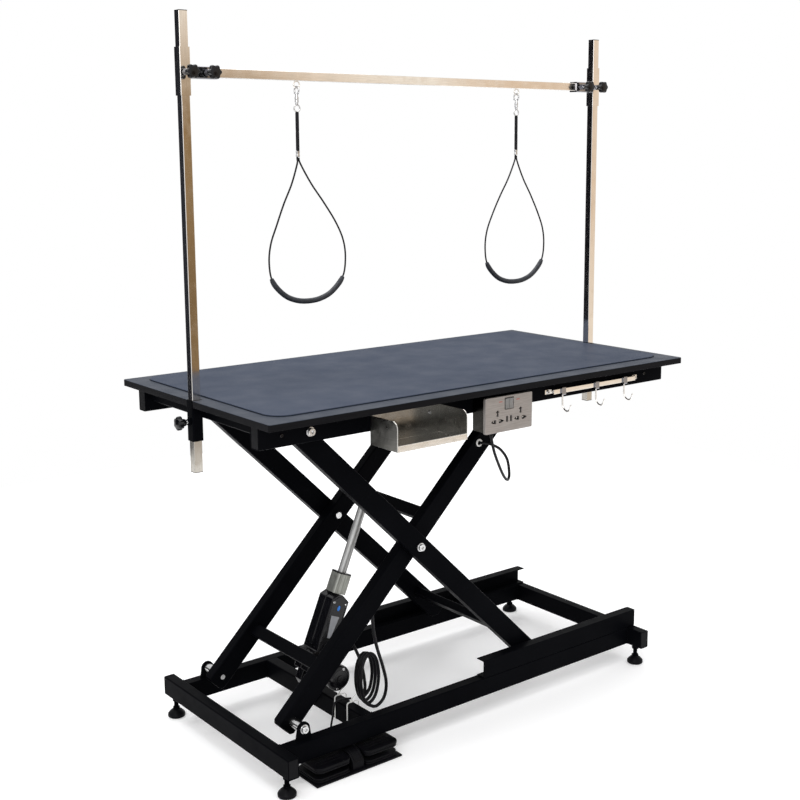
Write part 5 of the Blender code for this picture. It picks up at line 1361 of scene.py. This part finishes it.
def make_cables():
    coil = coil_points()
    lift, points = cable_tube("lift_power_cable", (*RISER, *coil), 0.008, 0.0040, "lift_cable")
    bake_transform(lift)
    lead, points = cable_tube("actuator_lead", (*reversed(ACTUATOR_LEAD), coil[-1], coil[-2]), 0.006, 0.0040,
                              "lift_cable")
    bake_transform(lead)
    outlet, points = cable_tube("outlet_power_cable", OUTLET_ROUTE, 0.006, 0.0034, "outlet_cable")
    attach(outlet, "table")
    switch, points = cable_tube("foot_switch_cable", SWITCH_ROUTE, 0.006, 0.0025, "switch_cable")
    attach(switch, "base")

    relief = bmesh.new()
    turned(relief, [(0.0058, 0.0), (0.0058, 0.0030), (0.0050, 0.0040), (0.0048, 0.0090), (0.0038, 0.0150),
                    (0.0035, 0.0150)], (-0.004, -0.286, 0.7362), (0, 0, -1), 28)
    add_piece("outlet_cable_gland", relief, "plastic", "table")
    eyelet = bmesh.new()
    ring(eyelet, (0.0627, -0.1686, 0.6727), 0.0075, 0.0022, (0, 1, 0), 44, 12)
    add_piece("arm_cable_grommet", eyelet, "tie", "inner_arms")

    ties = bmesh.new()
    for y in (-0.100, -0.150):
        outer = round_rectangle((-0.3268, -0.2932), (0.0484, 0.1080), 0.0060, 6)
        inner = round_rectangle((-0.3259, -0.2941), (0.0493, 0.1071), 0.0052, 6)
        band(ties, outer, inner, y - 0.0017, y + 0.0017, along_y)
        block(ties, (-0.3170, y - 0.0030, 0.1072), (-0.3110, y + 0.0030, 0.1112), 0.0006, 2)
        wire(ties, [(-0.3140, y, 0.1105), (-0.3120, y - 0.004, 0.1200), (-0.3070, y - 0.010, 0.1290)],
             [0.0014, 0.0012, 0.0009], 8)
    add_piece("cable_ties", ties, "tie", "base")


# ---------------------------------------------------------------- light and floor
def make_world():
    """White to the eye; for reflections, a bright room with a dark side and a warm side."""
    world = bpy.data.worlds.new("studio")
    bpy.context.scene.world = world
    world.use_nodes = True
    tree = world.node_tree
    tree.nodes.clear()

    def node(kind, **values):
        made = tree.nodes.new(kind)
        for key, value in values.items():
            socket = made.inputs[key.replace("_", " ")]
            if isinstance(value, bpy.types.NodeSocket):
                tree.links.new(value, socket)
            else:
                socket.default_value = value
        return made

    def math_node(operation, first, second):
        made = tree.nodes.new("ShaderNodeMath")
        made.operation = operation
        for index, value in enumerate((first, second)):
            if isinstance(value, bpy.types.NodeSocket):
                tree.links.new(value, made.inputs[index])
            else:
                made.inputs[index].default_value = value
        return made.outputs[0]

    direction = tree.nodes.new("ShaderNodeTexCoord").outputs["Generated"]

    def towards(aim, near, far):
        """1 in the middle of the sector round aim, 0 outside it."""
        dot = tree.nodes.new("ShaderNodeVectorMath")
        dot.operation = "DOT_PRODUCT"
        tree.links.new(direction, dot.inputs[0])
        dot.inputs[1].default_value = Vector(aim).normalized()
        return node("ShaderNodeMapRange", Value=dot.outputs["Value"], From_Min=far, From_Max=near).outputs[0]

    def mix(share, first, second):
        made = tree.nodes.new("ShaderNodeMix")
        made.data_type = "RGBA"
        for index, value in ((0, share), (6, first), (7, second)):
            if isinstance(value, tuple):
                made.inputs[index].default_value = (*value, 1.0)
            else:
                tree.links.new(value, made.inputs[index])
        return made.outputs[2]

    stretched = node("ShaderNodeMapping", Vector=direction, Scale=(1.0, 1.0, 0.35)).outputs[0]
    blotch = node("ShaderNodeTexNoise", Vector=stretched, Scale=9.0, Detail=4.0).outputs["Fac"]
    blotch = node("ShaderNodeMapRange", Value=blotch, From_Min=0.42, From_Max=0.62).outputs[0]
    room = mix(towards((0.0, 0.0, -1.0), 0.40, 0.15), (1.0, 1.0, 1.01), (0.46, 0.45, 0.43))
    cream = mix(blotch, (1.0, 0.93, 0.83), (0.80, 0.62, 0.46))
    room = mix(towards((0.58, -0.81, 0.0), 0.95, 0.86), room, cream)
    tan = mix(blotch, (0.36, 0.23, 0.11), (0.21, 0.135, 0.065))
    room = mix(towards((0.43, -0.90, -0.09), 0.9925, 0.9800), room, tan)
    dark = mix(blotch, (0.006, 0.006, 0.008), (0.030, 0.032, 0.040))
    room = mix(towards((-0.58, 0.81, 0.02), 0.955, 0.925), room, dark)
    path = tree.nodes.new("ShaderNodeLightPath")
    seen = math_node("MAXIMUM", path.outputs["Is Camera Ray"], 0.0)
    final = mix(seen, room, (1.0, 1.0, 1.0))
    background = node("ShaderNodeBackground", Color=final, Strength=1.0)
    output = tree.nodes.new("ShaderNodeOutputWorld")
    tree.links.new(background.outputs[0], output.inputs["Surface"])


def area_light(name, place, aim, size, power, colour=(1, 1, 1)):
    data = bpy.data.lights.new(name, "AREA")
    data.shape = "RECTANGLE"
    data.size, data.size_y = size
    data.energy = power
    data.color = colour
    light = bpy.data.objects.new(name, data)
    light.location = Vector(place)
    heading = Vector(aim) - Vector(place)
    light.rotation_euler = heading.to_track_quat("-Z", "Y").to_euler()
    bpy.context.collection.objects.link(light)


def make_floor():
    made = Surface("pale_floor", specular=0.1)
    made.colour(made.ramp(made.noise(2.0, 3.0), ((0.3, (0.93, 0.93, 0.93)), (0.7, (0.96, 0.96, 0.96)))))
    made.roughness(made.span(made.noise(6.0, 2.0), 0.85, 0.95))
    made.shader.inputs["Emission Color"].default_value = (1.0, 1.0, 1.0, 1.0)
    made.shader.inputs["Emission Strength"].default_value = 0.16
    mesh = bpy.data.meshes.new("floor")
    half = 2.6
    mesh.from_pydata([(-half, -half, 0), (half, -half, 0), (half, half, 0), (-half, half, 0)], [],
                     [(0, 1, 2, 3)])
    mesh.materials.append(made.material)
    floor = bpy.data.objects.new("floor", mesh)
    floor.location = (0, 0, -0.0002)
    bpy.context.collection.objects.link(floor)


def make_studio():
    make_world()
    make_floor()
    area_light("overhead", (-0.3, 0.2, 3.4), (0, 0, 0.8), (3.2, 2.4), 70)
    area_light("front_left", (-3.0, -2.4, 2.6), (0, 0, 0.7), (2.0, 2.0), 38)
    bpy.context.scene.view_settings.view_transform = "Standard"


make_camera()
make_cables()
for hand, hand_word in HANDS:
    make_noose(hand * NOOSE_X, hand_word)
make_base()
make_feet()
make_foot_switch()
make_arms()
make_actuator()
make_top()
make_table_frame()
make_tray()
make_sockets()
make_hooks()
make_posts()
make_crossbar()
make_knobs()
make_studio()
